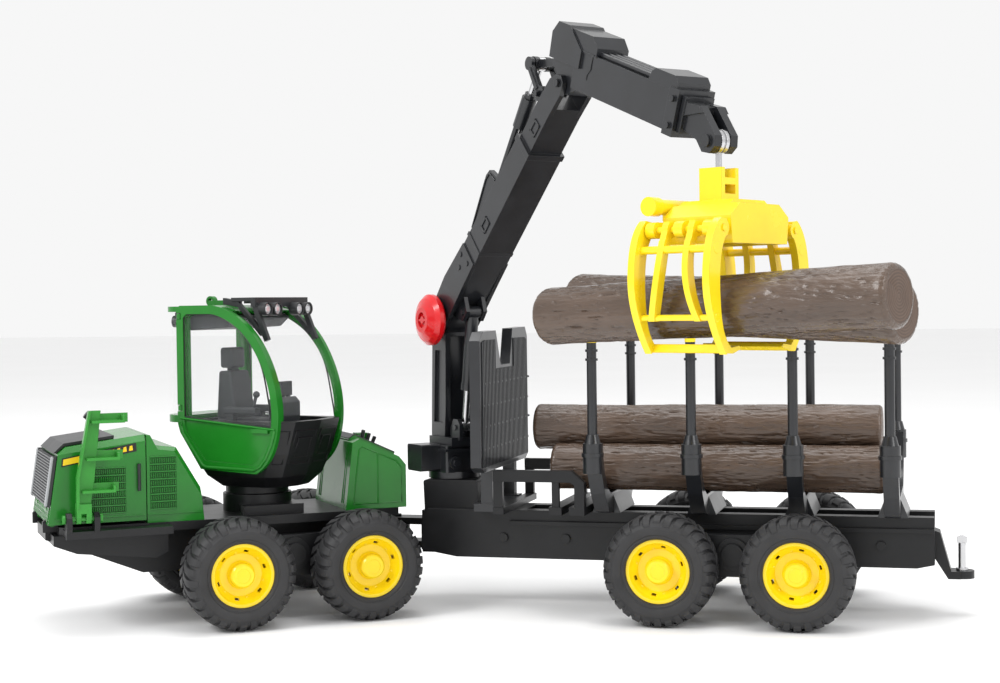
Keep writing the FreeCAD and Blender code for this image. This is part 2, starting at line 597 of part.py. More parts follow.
def make_hitch_pin():
    shank = Part.makeCylinder(HITCH_R, 23, V(HITCH_X, 0, 25.5), Z)
    collar = Part.makeCylinder(4.0, 1.6, V(HITCH_X, 0, 30.0), Z)
    grip = disc_y(HITCH_X, 50, -1.4, 1.4, 3.4)
    hook = box(HITCH_X - 3.4, HITCH_X + 3.4, -1.4, 1.4, 50.4, 52.4)
    return join(shank, collar, grip, hook)


def make_headboard():
    low, high = 72.0, 195.6
    notch = [(-25, high + 1), (-11, high - 26), (14, high - 26), (23, high + 1)]
    outline = [(-66, 101), (-58, 97), (58, 97), (66, 101), (66, high - 7), (60, high), (-58, high - 2), (-66, high - 8)]
    plate = prism_x(outline, -176, -168.4).cut(prism_x(notch, -180, -160))
    legs = [box(-178, -169.5, y0, y0 + 8, low, 112) for y0 in (-34, 26)]
    feet = [box(-183, -166, y0, y0 + 10, FRAME_TOP, low + 1) for y0 in (-35, 25)]
    foot_beam = box(-180, -166, -35, 35, FRAME_TOP, low)
    return join(plate, foot_beam, *(legs + feet))


def make_bunk_rail():
    solids = []
    for side in (-1, 1):
        lo, hi = sorted((side * 42.0, side * 48.0))
        outline = [(-165.5, 90), (-165.5, 98), (-110, 98), (-101, 90), (-101, 72), (-108, 72), (-108, 88),
                   (-111, 90)]
        solids.append(prism_y(outline, lo, hi))
        solids.append(prism_y([(-124, 72), (-119, 72), (-119, 91), (-124, 91)], lo + 1, hi - 1))
        solids.append(prism_y([(-165.5, 68), (-159, 68), (-159, 91), (-165.5, 91)], lo + 1, hi - 1))
    cross = box(-112, -101, -48, 48, FRAME_TOP, 73)
    brace = box(-126, -117, -48, 48, FRAME_TOP, 73)
    front = box(-165.6, -158, -48, 48, FRAME_TOP, 72)
    return join(cross, brace, front, *solids)


SADDLE_Z = 82.0


def make_bolsters():
    """Four cross bunks on the spine: flared feet, curved arms and stake sockets."""
    solids = []
    for x in STAKE_X:
        half = 5.0
        wing = []
        for side in (-1, 1):
            def y(reach, sign=side):
                return sign * reach
            path = [V(x - half, y(0), FRAME_TOP), V(x - half, y(27), FRAME_TOP), V(x - half, y(41), 70),
                    V(x - half, y(55), 83.5), V(x - half, y(67), 101), V(x - half, y(67), 118),
                    V(x - half, y(60), 118)]
            inner = Part.Arc(V(x - half, y(60), 118), V(x - half, y(53), 95), V(x - half, y(34), SADDLE_Z))
            edges = [line(a, b) for a, b in zip(path, path[1:])]
            edges.append(inner.toShape())
            edges.append(line(V(x - half, y(34), SADDLE_Z), V(x - half, y(0), SADDLE_Z)))
            edges.append(line(V(x - half, y(0), SADDLE_Z), path[0]))
            wing.append(Part.Face(Part.Wire(edges)).extrude(V(2 * half, 0, 0)))
            socket = Part.makeCylinder(6.6, 20, V(x, y(STAKE_Y), 99), Z)
            cone = Part.makeCone(5.6, 3.9, 6, V(x, y(STAKE_Y), 119), Z)
            lip = Part.makeCylinder(7.4, 2.5, V(x, y(STAKE_Y), 110), Z)
            bore = Part.makeCylinder(STAKE_R, 24, V(x, y(STAKE_Y), 102), Z)
            lo, hi = sorted((y(62), y(70)))
            bridge = box(x - 3.5, x + 3.5, lo, hi, 100, 117)
            wing.append(join(socket, cone, lip, bridge).cut(bore))
        flare = prism_y([(x - 10, FRAME_TOP), (x + 10, FRAME_TOP), (x + 5, 80), (x - 5, 80)], -27, 27)
        bunk = join(flare, *wing)
        for side in (-1, 1):
            bunk = bunk.cut(Part.makeCylinder(STAKE_R, 24, V(x, side * STAKE_Y, 102), Z))
        solids.append(bunk)
    return Part.makeCompound(solids)


def make_stakes():
    solids = []
    for x in STAKE_X:
        for side in (-1, 1):
            y = side * STAKE_Y
            post = Part.makeCylinder(STAKE_R, 84, V(x, y, 102), Z)
            beads = [Part.makeCylinder(STAKE_R + 0.9, 1.6, V(x, y, z), Z) for z in (174, 180)]
            solids.append(join(post, *beads))
    return Part.makeCompound(solids)


def make_stake_caps():
    solids = []
    for x in STAKE_X:
        for side in (-1, 1):
            base = Part.makeCylinder(STAKE_R + 0.3, 4, V(x, side * STAKE_Y, 186), Z)
            tip = Part.makeCone(STAKE_R + 0.3, STAKE_R - 0.8, 2.4, V(x, side * STAKE_Y, 190), Z)
            solids.append(join(base, tip))
    return Part.makeCompound(solids)


LOG_WALL = 2.5
PLUG_T = 4.0


def make_log(radius, x0, x1, y, z, tilt=0.0):
    """A moulded log: a tube with rounded rims and a plug in each end."""
    log = Part.makeCylinder(radius, x1 - x0, V(x0, y, z), X)
    log = log.makeFillet(2.0, [e for e in log.Edges if e.Curve.TypeId == "Part::GeomCircle"])
    bore = Part.makeCylinder(radius - LOG_WALL, x1 - x0 + 2, V(x0 - 1, y, z), X)
    plugs = [Part.makeCylinder(radius - LOG_WALL, PLUG_T, V(x, y, z), X) for x in (x0, x1 - PLUG_T)]
    log = Part.makeCompound([log.cut(bore)] + plugs)
    log.rotate(V((x0 + x1) / 2, y, z), Y, -tilt)
    return log


def make_bunk_logs():
    low_z = SADDLE_Z + LOG_R + 0.3
    spread = 20.5
    top_z = low_z + math.sqrt((2 * LOG_R + 0.1) ** 2 - spread ** 2)
    return Part.makeCompound([
        make_log(LOG_R, -128, 98, -spread, low_z), make_log(LOG_R, -134, 100, spread, low_z),
        make_log(LOG_R, -145, 96, 0, top_z)])


# ---- crane, in its own plane -----------------------------------------------------
def make_slew_base():
    disc = Part.makeCylinder(19, 5, V(0, 0, 88.4), Z)
    spigot = Part.makeCylinder(8.0, 22, V(0, 0, 68), Z)
    body = soften(box(-17, 17, -16, 16, 93, 112), 2.0, Z)
    neck = box(-14, 20, -13, 13, 112, 118)
    block = soften(box(-14, 8, -31, -15, 94, 113), 2.0, Y)
    caps = [Part.makeCylinder(4.6, 3.4, V(16, y, 100), X) for y in (-9, 9)]
    centre_caps = [Part.makeCylinder(2.4, 4.4, V(16, y, 100), X) for y in (-9, 9)]
    lip = box(-16, 19, -17.5, 17.5, 108, 110)
    lugs = [prism_y([(8, 116), (22, 116), (22, 127), (19, 131), (13, 131), (8, 124)], y0, y0 + 3)
            for y0 in (-7.6, 4.6)]
    pin = disc_y(LIFT_FOOT[0], LIFT_FOOT[1], -8.6, 8.6, 2.0)
    return join(disc, spigot, body, neck, block, lip, pin, *(caps + centre_caps + lugs))


COLUMN_HALF = 10.5


def make_column():
    outline = [(-15, 118), (5, 118), (7, 140), (8, 185), (10, 202), (6, 210), (-2, 212), (-9, 206), (-12, 190)]
    column = prism_y(outline, -COLUMN_HALF, COLUMN_HALF)
    column = column.cut(prism_y([(-11, 128), (2, 128), (3.5, 180), (-8, 180)], -20, -COLUMN_HALF + 2))
    column = column.cut(prism_y([(-11, 128), (2, 128), (3.5, 180), (-8, 180)], COLUMN_HALF - 2, 20))
    slot = prism_y([(2.5, 118), (30, 118), (30, 190), (2.5, 190)], -6.2, 6.2)
    column = column.cut(slot)
    top = disc_y(*BOOM_PIVOT, -COLUMN_HALF, COLUMN_HALF, 11.5)
    pin = disc_y(*BOOM_PIVOT, -22, 15.2, 3.2)
    return join(column, top, pin)


CHEEK_IN, CHEEK_OUT = 11.0, 14.0


def make_knob():
    """Ribbed hand wheel on the boom pivot."""
    y0, y1 = -26.5, -15.4
    grip = turned([(0.01, y0), (9, y0), (15.5, y0 + 3), (18.3, y0 + 6), (18.3, y1 - 2), (16.5, y1), (0.01, y1)])
    grip.translate(V(BOOM_PIVOT[0], 0, BOOM_PIVOT[1]))
    recess = disc_y(*BOOM_PIVOT, y0 - 1, y0 + 2.0, 5.5)
    spokes = join(disc_y(*BOOM_PIVOT, y0 + 0.4, y0 + 3, 2.6), box(-3.2, 7.2, y0 + 0.4, y0 + 3, 201.2, 202.8))
    bore = disc_y(*BOOM_PIVOT, -22.6, y1 + 1, 3.2 + RUN)
    return join(grip.cut(recess), spokes).cut(bore)


def make_boom():
    """Welded-look box boom in two steps, with cheeks, a bracket fairing and lugs."""
    lower = prism_y([(20, -9), (168, -8.5), (168, 11.5), (75, 12), (40, 12.5), (20, 13)], -CHEEK_OUT + 1, CHEEK_OUT - 1)
    upper = prism_y([(166, -7), (206, -7), (206, 9.8), (166, 9.8)], -12, 12)
    cheeks = []
    for side in (-1, 1):
        lo, hi = sorted((side * CHEEK_IN, side * CHEEK_OUT))
        cheek = prism_y([(-9, -6), (-4, -10), (6, -11), (40, -9.5), (66, -8.8), (66, 12.2), (30, 14.5), (4, 12), (-7, 8)],
                        lo, hi)
        cheeks.append(cheek)
        ear_lo, ear_hi = sorted((side * 8.8, side * 12))
        ear = prism_y([(200, -7), (BOOM_LEN - 4, -8), (BOOM_LEN + 4, -5), (BOOM_LEN + 6, 0), (BOOM_LEN + 3, 5),
                       (BOOM_LEN - 4, 9), (200, 9.8)], ear_lo, ear_hi)
        cheeks.append(ear)
    fairing = prism_y([(74, 11), (118, 25.5), (124, 24.5), (128, 11)], -11.5, 11.5)
    groove = prism_y([(100, 10.0), (98, 25), (112, 40), (140, 40), (140, 13.0), (110, 10.5)], -7.6, 7.6)
    belly_lugs = [prism_y([(14, -8), (34, -8), (29, -19), (20, -20)], lo, lo + 3) for lo in (-8.4, 5.4)]
    guide_boss = [disc_y(*GUIDE_FOOT, lo, lo + 3, 5) for lo in (-6.2, 3.2)]
    guide_web = prism_y([(192, 8), (208, 8), (204, 16), (196, 16)], -6.2, 6.2)
    guide_web = guide_web.cut(box(190, 215, -3.2, 3.2, 9.8, 20))
    trim = [box(74, 77, -CHEEK_OUT + 0.4, CHEEK_OUT - 0.4, -9, 12.8), box(164, 168.4, -13.8, 13.8, -9.4, 12.2)]
    boom = join(lower, upper, fairing, guide_web, *(cheeks + belly_lugs + guide_boss + trim)).cut(groove)
    pins = [disc_y(*LIFT_LUG, -9.4, 9.4, 2.0), disc_y(*FOLD_FOOT, -10, 10, 1.8), disc_y(*GUIDE_FOOT, -12.6, 12.6, 2.0)]
    boom = join(boom, *pins)
    pivot_room = disc_y(0, 0, -30, 30, 3.2 + RUN)
    head_room = disc_y(0, 0, -CHEEK_IN, CHEEK_IN, 16.5)
    elbow_bore = disc_y(BOOM_LEN, 0, -20, 20, 2.6 + RUN)
    return boom.cut(pivot_room).cut(head_room.common(box(-30, 19, -11, 11, -30, 8))).cut(elbow_bore)


def make_jib():
    """Jib box with rear cowl, hose covers, hose ribs and the end collar."""
    tube = prism_y([(14, 0.5), (124, 0.5), (124, 24.5), (14, 25)], -11, 11)
    bore = box(30, 130, -8.1, 8.1, 4.4, 20.6)
    tail = prism_y([(-9, 5.5), (-4.5, -5), (5, -6.5), (20, 0.5), (20, 25), (4, 37), (-9, 37), (-15, 30), (-15, 9)],
                   -8.4, 8.4)
    cowl = prism_y([(-14, 14), (-15, 30), (-9, 37.5), (4, 37.5), (22, 25), (22, 14)], -12.6, 12.6)
    rear_room = box(-30, -8.6, -4.4, 4.4, -10, 24)
    cover_a = prism_y([(0, 24), (2, 33.5), (6, 36), (31, 36), (38, 30), (38, 24)], -11.5, 11.5)
    cover_b = prism_y([(96, 24), (98.5, 30), (102, 32.5), (122, 32.5), (126, 29), (126, 24)], -11.5, 11.5)
    hoses = [rod(V(36, y, 26.2), V(98, y, 26.2), 1.7) for y in (-7.2, -2.4, 2.4, 7.2)]
    collar = box(120, 130, -12.6, 12.6, -1.4, 26)
    collar_inner = box(115, 135, -8.1, 8.1, 4.4, 20.6)
    bolts = [disc_y(125.5, z, -14.2, 14.2, 1.9) for z in (4.5, 20.0)]
    jib = join(tube, tail, cowl, cover_a, cover_b, collar, *(hoses + bolts))
    jib = jib.cut(bore).cut(collar_inner).cut(rear_room)
    coupler_pin = disc_y(*COUPLER_END, -8.4, 8.4, 1.8)
    elbow_pin = disc_y(0, 0, -13.6, 13.6, 2.6)
    boss = disc_y(0, 0, -8.4, 8.4, 6.5)
    room = disc_y(0, 0, 8.5, 13.7, 10.5)
    for_ears = join(room, mirrored_y(room))
    return join(jib.cut(for_ears), boss, coupler_pin, elbow_pin)


def make_telescope():
    """Sliding inner tube with the forked tip."""
    tube = box(36, 133, -7.8, 7.8, 4.8, 20.2)
    flange = box(130.6, 134, -10, 10, 2, 23)
    fork = []
    for side in (-1, 1):
        lo, hi = sorted((side * 3.2, side * 8.0))
        fork.append(prism_y([(133, 4.6), (133, 20), (146, 21), (164, 9), (165.5, 3), (162, -2), (155, -3), (148, 2)], lo, hi))
        lo, hi = sorted((side * 7.5, side * 9.5))
        fork.append(prism_y([(133, 12), (133, 20), (146, 21), (150, 18)], lo, hi))
    bridge = prism_y([(133, 4.6), (133, 20), (144, 20), (144, 6)], -8, 8)
    pin = disc_y(*TIP, -9.2, 9.2, 1.9)
    nuts = [disc_y(*TIP, lo, hi, 3.6) for lo, hi in ((-9.6, -7.9), (7.9, 9.6))]
    return join(tube, flange, bridge, pin, *(fork + nuts))


# ---- crane linkage -----------------------------------------------------------------
def plane_point(pair):
    return V(pair[0], 0, pair[1])


LIFT_TOP_WORLD = BOOM.multVec(plane_point(LIFT_LUG))
LIFT_FOOT_WORLD = CRANE.multVec(plane_point(LIFT_FOOT))


def crane_xy(world):
    local = CRANE.inverse().multVec(world)
    return (local.x, local.z)


def link_frame(foot, top):
    """Local frame with x from the foot pin to the top pin, in the crane's plane."""
    (x0, z0), (x1, z1) = crane_xy(foot), crane_xy(top)
    degrees = math.degrees(math.atan2(z1 - z0, x1 - x0))
    return tilted(CRANE, V(x0, 0, z0), degrees), math.hypot(x1 - x0, z1 - z0)


LIFT, LIFT_LEN = link_frame(LIFT_FOOT_WORLD, LIFT_TOP_WORLD)
GUIDE_FOOT_WORLD = BOOM.multVec(plane_point(GUIDE_FOOT))
GUIDE_TOP_WORLD = BOOM.multVec(plane_point(GUIDE_TOP))
FOLD_FOOT_WORLD = BOOM.multVec(plane_point(FOLD_FOOT))
COUPLER_WORLD = JIB.multVec(plane_point(COUPLER_END))
GUIDE, GUIDE_LEN = link_frame(GUIDE_FOOT_WORLD, GUIDE_TOP_WORLD)
FOLD, FOLD_LEN = link_frame(FOLD_FOOT_WORLD, GUIDE_TOP_WORLD)
COUPLER, COUPLER_LEN = link_frame(COUPLER_WORLD, GUIDE_TOP_WORLD)


def make_lift_rod():
    eye = disc_y(0, 0, -4.2, 4.2, 4.0)
    shaft = rod(V(2, 0, 0), V(LIFT_LEN - 28, 0, 0), 2.4)
    return join(eye, shaft).cut(disc_y(0, 0, -6, 6, 2.0 + RUN))


def make_lift_cylinder():
    barrel = rod(V(LIFT_LEN - 55, 0, 0), V(LIFT_LEN - 3, 0, 0), 4.6)
    gland = rod(V(LIFT_LEN - 56, 0, 0), V(LIFT_LEN - 51, 0, 0), 5.0)
    eye = disc_y(LIFT_LEN, 0, -4.8, 4.8, 4.4)
    hollow = rod(V(LIFT_LEN - 57, 0, 0), V(LIFT_LEN - 6, 0, 0), 2.4 + RUN)
    return join(barrel, gland, eye).cut(hollow).cut(disc_y(LIFT_LEN, 0, -8, 8, LOOSE_BORE_R))


def make_fold_cylinder():
    eye = disc_y(0, 0, -4.6, 4.6, 4.2)
    tubes = [rod(V(2, y, 0), V(56, y, 0), 2.2) for y in (-2.6, 2.6)]
    gland = rod(V(52, 0, 0), V(74, 0, 0), 5.2)
    nose = rod(V(74, 0, 0), V(77, 0, 0), 4.0)
    hollow = rod(V(30, 0, 0), V(80, 0, 0), 2.2 + RUN)
    return join(eye, gland, nose, *tubes).cut(disc_y(0, 0, -6, 6, 1.8 + RUN)).cut(hollow)


def make_fold_rod():
    shaft = rod(V(52, 0, 0), V(FOLD_LEN - 3.5, 0, 0), 2.2)
    eye = disc_y(FOLD_LEN, 0, -2.4, 2.4, 4.6)
    return join(shaft, eye).cut(disc_y(FOLD_LEN, 0, -4, 4, LOOSE_BORE_R))


def make_guide_link():
    """Two dog-bone plates joined by the top pin, outside the boom's bosses."""
    plates = []
    for lo in (-9.6, 6.8):
        foot = disc_y(0, 0, lo, lo + 2.8, 5.0)
        head = disc_y(GUIDE_LEN, 0, lo, lo + 2.8, 4.4)
        web = prism_y([(0, -3), (GUIDE_LEN, -2.6), (GUIDE_LEN, 2.6), (0, 3)], lo, lo + 2.8)
        out = lo - 0.8 if lo < 0 else lo + 2.0
        ridge = prism_y([(4, -1.2), (GUIDE_LEN - 4, -1.0), (GUIDE_LEN - 4, 1.0), (4, 1.2)], out, out + 1.6)
        plates.append(join(foot, head, web, ridge))
    pin = disc_y(GUIDE_LEN, 0, -9.6, 9.6, 1.8)
    return join(pin, *plates).cut(disc_y(0, 0, -12, 12, 2.0 + RUN))


def make_coupler():
    """H-shaped link from the jib's rear to the guide link's pin."""
    plates = []
    for side in (-1, 1):
        lo, hi = sorted((side * 3.0, side * 4.1))
        plates.append(disc_y(0, 0, lo, hi, 3.6))
        lo, hi = sorted((side * 3.0, side * 6.2))
        plates.append(disc_y(COUPLER_LEN, 0, lo, hi, 4.8))
        plates.append(prism_y([(0, -2.4), (COUPLER_LEN, -2.8), (COUPLER_LEN, 2.8), (0, 2.4)], side * 3.0, side * 4.1))
    bar = rod(V(COUPLER_LEN * 0.45, -3.8, 0), V(COUPLER_LEN * 0.45, 3.8, 0), 1.7)
    link = join(bar, *plates).cut(disc_y(0, 0, -8, 8, 1.8 + RUN))
    return link.cut(disc_y(COUPLER_LEN, 0, -8, 8, LOOSE_BORE_R))


# ---- grapple, x along the logs, hanging from the tip pin ---------------------------------
HOOK_Z = -22.0


def make_tip_link():
    """Pulley-like ring in the jib's fork, and the rod with its swivel head."""
    ring = hinge_eye(0, 0, -2.7, 2.7, 7.0, 1.9 + RUN)
    groove = disc_y(0, 0, -0.5, 0.5, 9).cut(disc_y(0, 0, -0.6, 0.6, 6.2))
    shank = Part.makeCylinder(1.8, 15, V(0, 0, -20.0), Z)
    head = Part.makeCylinder(3.6, 2.0, V(0, 0, -27.0), Z)
    stem = Part.makeCylinder(1.8, 8.5, V(0, 0, -27.0), Z)
    bored = join(ring.cut(groove), shank.cut(disc_y(0, 0, -3, 3, 3)), stem, head)
    return bored.cut(disc_y(0, 0, -4, 4, 1.9 + RUN))


TINE_PIVOT = (35.5, -50.0)      # y, z
TINE_T = 4.6                    # outer blade thickness
BAR_T = 4.0                     # inner bar thickness
FRAME_HALF_X = 27.0


def make_grapple_frame():
    """Swivel fork, gabled body, end lugs and the squeeze cylinder, one yellow moulding set."""
    posts = [box(-7.5, 7.5, lo, lo + 3.4, -37, -15) for lo in (-8.4, 5.0)]
    seat = join(box(-7.5, 7.5, -8.4, 8.4, -37, -29.5), box(-7.5, 7.5, -8.4, 8.4, -24.4, -20.6))
    seat = seat.cut(Part.makeCylinder(1.8 + 0.3, 30, V(0, 0, -26), Z))
    seat = seat.cut(Part.makeCylinder(4.2, 5.1, V(0, 0, -29.5), Z))
    gable = [(-19, -36), (19, -36), (28.6, -43), (27.0, -58), (-27.0, -58), (-28.6, -43)]
    body = prism_x(gable, -FRAME_HALF_X + 9, FRAME_HALF_X)
    hollow = prism_x([(-23, -62), (23, -62), (23, -49), (19, -44), (-19, -44), (-23, -49)],
                     -FRAME_HALF_X + 12, FRAME_HALF_X - 3)
    body = body.cut(hollow)
    roof = prism_x([(-19, -36), (19, -36), (15, -33.5), (-15, -33.5)], -14, 20)
    lugs = []
    for side in (-1, 1):
        for x0 in (-22.0, -3.0, 16.0):
            y, z = side * TINE_PIVOT[0], TINE_PIVOT[1]
            lug = Part.makeCylinder(4.6, 6.0, V(x0, y, z), X)
            lo, hi = sorted((side * 24.0, y))
            lugs.append(join(lug, box(x0, x0 + 6, lo, hi, z - 3, z + 4.5)))
    rods = [Part.makeCylinder(1.9, 2 * FRAME_HALF_X + 2, V(-FRAME_HALF_X - 1, side * TINE_PIVOT[0], TINE_PIVOT[1]), X)
            for side in (-1, 1)]
    ram = rod(V(-22.5, -30, -36.5), V(-22.5, 26, -36.5), 4.4)
    ram_cap = rod(V(-22.5, -36, -36.5), V(-22.5, -28, -36.5), 5.4)
    ram_rest = [box(-24.5, -15, lo, lo + 5, -44, -37) for lo in (-20, 14)]
    frame = join(body, roof, seat, ram, ram_cap, *(posts + lugs + rods + ram_rest))
    return frame


def tine_outline(x0):
    """Hooked blade seen along the logs, closing towards the middle at its foot."""
    outer = [V(x0, y, z) for y, z in
             ((-37.5, -44.5), (-43.5, -51), (-48.5, -66), (-49, -84), (-43.5, -102), (-34, -118))]
    inner = [V(x0, y, z) for y, z in
             ((-29.5, -114.4), (-35.4, -107), (-38.8, -92), (-39, -72), (-36.5, -60), (-31.6, -52))]
    heel = V(x0, -32.2, -45.2)
    edges = [curve(outer), line(outer[-1], inner[0]), curve(inner), line(inner[-1], heel), line(heel, outer[0])]
    return Part.Wire(edges)


def inner_bar(x_top, x_foot):
    """A slimmer bar that leans towards the middle as it goes down."""
    sections = []
    for x, y_out, y_in, z in ((x_top, -42.5, -37.5, -56), (x_top * 0.8 + x_foot * 0.2, -47.0, -41.2, -78),
                              (x_foot, -44, -39, -100)):
        corners = [V(x, y_out, z), V(x + BAR_T, y_out, z), V(x + BAR_T, y_in, z), V(x, y_in, z)]
        sections.append(Part.makePolygon(corners + [corners[0]]))
    return Part.makeLoft(sections, True, False)


def make_tine():
    """Near tine: four blades on the pivot rod, two cross rods and the foot plate."""
    solids = []
    for x0 in (-27.2, 22.6):
        blade = Part.Face(tine_outline(x0)).extrude(V(TINE_T, 0, 0))
        eye = Part.makeCylinder(5.0, TINE_T, V(x0, -TINE_PIVOT[0], TINE_PIVOT[1]), X)
        solids.append(join(blade, eye))
    for x_top, x_foot in ((-10.6, -17.4), (6.6, 13.4)):
        solids.append(inner_bar(x_top, x_foot))
        neck = prism_x([(-42.5, -57), (-37.5, -57), (-32, -47.5), (-38, -45.5)], x_top, x_top + BAR_T)
        hub = Part.makeCylinder(4.4, BAR_T, V(x_top, -TINE_PIVOT[0], TINE_PIVOT[1]), X)
        solids.append(join(neck, hub))
    upper = Part.makeCylinder(2.2, 51, V(-25.5, -42.0, -61), X)
    lower = Part.makeCylinder(1.7, 51, V(-25.5, -42.2, -98), X)
    plate = prism_x([(-33.4, -117.4), (-29.6, -114.4), (-22, -113.4), (-20, -115.2), (-28, -117.6)], -27.2, 27.2)
    tine = join(upper, lower, plate, *solids)
    bore = Part.makeCylinder(1.9 + RUN, 80, V(-40, -TINE_PIVOT[0], TINE_PIVOT[1]), X)
    return tine.cut(bore)


HELD_Z = -93.0


def make_held_logs():
    near = make_log(HELD_R, -111, 121, -HELD_R - 0.3, HELD_Z + 0.6, 2.2)
    far = make_log(HELD_R, -117, 105, HELD_R + 0.3, HELD_Z + 0.6, -2.2)
    return Part.makeCompound([near, far])


# ---- assembly -------------------------------------------------------------------------
def build_nodes():
    nodes = {}
    tyre, rim, bogie = make_tyre(), make_rim(), make_bogie()
    for section, frame in (("front", FRONT), ("rear", WAGON)):
        for side_name, side in (("left", -1), ("right", 1)):
            for letter, x in (("a", -BASE_HALF), ("b", BASE_HALF)):
                end = "%s_%s_%s" % (section, side_name, letter)
                nodes["tyre_" + end] = (place_wheel(tyre, x, side), frame)
                nodes["rim_" + end] = (place_wheel(rim, x, side), frame)
            swing = bogie.copy() if side < 0 else mirrored_y(bogie)
            nodes["bogie_%s_%s" % (section, side_name)] = (swing, frame)
    for name, maker in (
            ("front_frame", make_front_frame), ("hood", make_hood), ("hood_trim", make_hood_trim),
            ("engine_block", make_engine_block), ("rear_cowl", make_rear_cowl), ("boarding_ladder", make_ladder),
            ("tail_cover", make_tail_cover), ("centre_yoke", make_yoke)):
        nodes[name] = (maker(), FRONT)
    for name, maker in (
            ("cab_tub", make_cab_tub), ("cab_frame", make_cab_frame), ("cab_door", make_door),
            ("door_window", make_door_window), ("cab_glazing", make_cab_glazing),
            ("cab_interior", make_cab_interior), ("roof_rack", make_roof_rack)):
        nodes[name] = (maker(), CAB)
    nodes["cab_frame"] = (nodes["cab_frame"][0].cut(nodes["cab_tub"][0]), CAB)
    nodes["roof_rack"] = (nodes["roof_rack"][0].cut(nodes["cab_glazing"][0]), CAB)
    for name, maker in (
            ("rear_frame", make_rear_frame), ("hitch_pin", make_hitch_pin), ("headboard", make_headboard),
            ("bunk_rail", make_bunk_rail), ("bolsters", make_bolsters), ("stakes", make_stakes),
            ("stake_caps", make_stake_caps), ("bunk_logs", make_bunk_logs)):
        nodes[name] = (maker(), WAGON)
    for name, maker, frame in (
            ("slew_base", make_slew_base, CRANE), ("crane_column", make_column, CRANE),
            ("height_knob", make_knob, CRANE), ("main_boom", make_boom, BOOM), ("jib", make_jib, JIB),
            ("telescope", make_telescope, JIB), ("lift_rod", make_lift_rod, LIFT),
            ("lift_cylinder", make_lift_cylinder, LIFT), ("fold_cylinder", make_fold_cylinder, FOLD),
            ("fold_rod", make_fold_rod, FOLD), ("guide_link", make_guide_link, GUIDE),
            ("coupler_link", make_coupler, COUPLER)):
        nodes[name] = (maker(), frame)
    tip_frame = frame_at(TIP_POINT, CRANE_DEG)
    nodes["tip_link"] = (make_tip_link(), tip_frame)
    nodes["grapple_frame"] = (make_grapple_frame(), GRAPPLE)
    tine = make_tine()
    nodes["tine_near"] = (tine, GRAPPLE)
    half_turn = tine.copy()
    half_turn.rotate(V(0, 0, 0), Z, 180)
    nodes["tine_far"] = (half_turn, GRAPPLE)
    nodes["held_logs"] = (make_held_logs(), GRAPPLE)
    placed = {}
    for name, (shape, frame) in nodes.items():
        shape = shape.copy()
        shape.transformShape(frame.toMatrix(), True)
        placed[name] = shape
    return placed


def origin_shift(placed):
    """Moves the model so that its origin is the middle of its footprint, on the ground."""
    whole = FreeCAD.BoundBox()
    for shape in placed.values():
        whole.add(shape.optimalBoundingBox(False))
    return V(-whole.Center.x, -whole.Center.y, -whole.ZMin)


def main():
    os.makedirs("parts", exist_ok=True)
    placed = build_nodes()
    shift = origin_shift(placed)
    for name, shape in placed.items():
        shape.translate(shift)
        shape.exportStep("parts/%s.step" % name)
    return shift


if __name__ == "__main__":
    main()
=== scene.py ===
"""Visual layer of the toy forwarder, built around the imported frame."""
import json
import math
import random

import bmesh
import bpy
from mathutils import Matrix, Vector, noise


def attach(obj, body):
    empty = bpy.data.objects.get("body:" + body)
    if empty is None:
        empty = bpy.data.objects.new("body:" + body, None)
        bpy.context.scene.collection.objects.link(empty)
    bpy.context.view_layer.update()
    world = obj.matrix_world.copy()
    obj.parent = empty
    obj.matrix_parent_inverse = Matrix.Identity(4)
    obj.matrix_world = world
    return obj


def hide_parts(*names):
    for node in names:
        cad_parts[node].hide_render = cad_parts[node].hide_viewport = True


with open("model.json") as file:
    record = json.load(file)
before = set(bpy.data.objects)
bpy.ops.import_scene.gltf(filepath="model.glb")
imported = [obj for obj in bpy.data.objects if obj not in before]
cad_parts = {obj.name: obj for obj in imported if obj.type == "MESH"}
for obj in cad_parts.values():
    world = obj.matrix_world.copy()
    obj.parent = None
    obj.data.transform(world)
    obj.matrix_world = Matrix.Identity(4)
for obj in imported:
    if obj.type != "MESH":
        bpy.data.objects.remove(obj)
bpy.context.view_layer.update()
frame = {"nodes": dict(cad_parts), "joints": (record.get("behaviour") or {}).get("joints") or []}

# ---- frames: every piece is built in millimetres in the frame of its own section ----
JOINTS = {joint["name"]: joint for joint in frame["joints"]}
MM_PER_M = 1000


def pivot(name):
    """Where a joint sits, in metres."""
    return Vector(JOINTS[name]["pos_m"])


def heading(name, turn=0.0):
    """Direction of a joint's axis seen from above, in radians, after a turn in degrees."""
    axis = JOINTS[name]["axis"]
    return math.atan2(axis[1], axis[0]) + math.radians(turn)


def between_bogies(section):
    """The middle of a frame's two bogie pivots."""
    return (pivot("bogie_%s_left_rock" % section) + pivot("bogie_%s_right_rock" % section)) / 2


def upright(at, angle, z=0.0):
    """Frame with z up, turned about z, over a point on the floor unless a height is given."""
    return Matrix.Translation((at.x, at.y, z)) @ Matrix.Rotation(angle, 4, "Z")


def pitched(at, angle, up):
    """Frame at a point, turned about z and then raised by a pitch in degrees."""
    turned = Matrix.Translation(at) @ Matrix.Rotation(angle, 4, "Z")
    return turned @ Matrix.Rotation(-math.radians(up), 4, "Y")


def shifted(place, x, y, z):
    """The same frame, moved by millimetres along its own axes."""
    return place @ Matrix.Translation((x / MM_PER_M, y / MM_PER_M, z / MM_PER_M))


def at_y(y, outline):
    """A polyline of (x, z) pairs, set at one y."""
    return [(x, y, z) for x, z in outline]


# the cab's turn and the pitches of boom and jib, all at rest
CAB_DEG, BOOM_DEG, JIB_DEG = -15.0, 42.4, -20.0
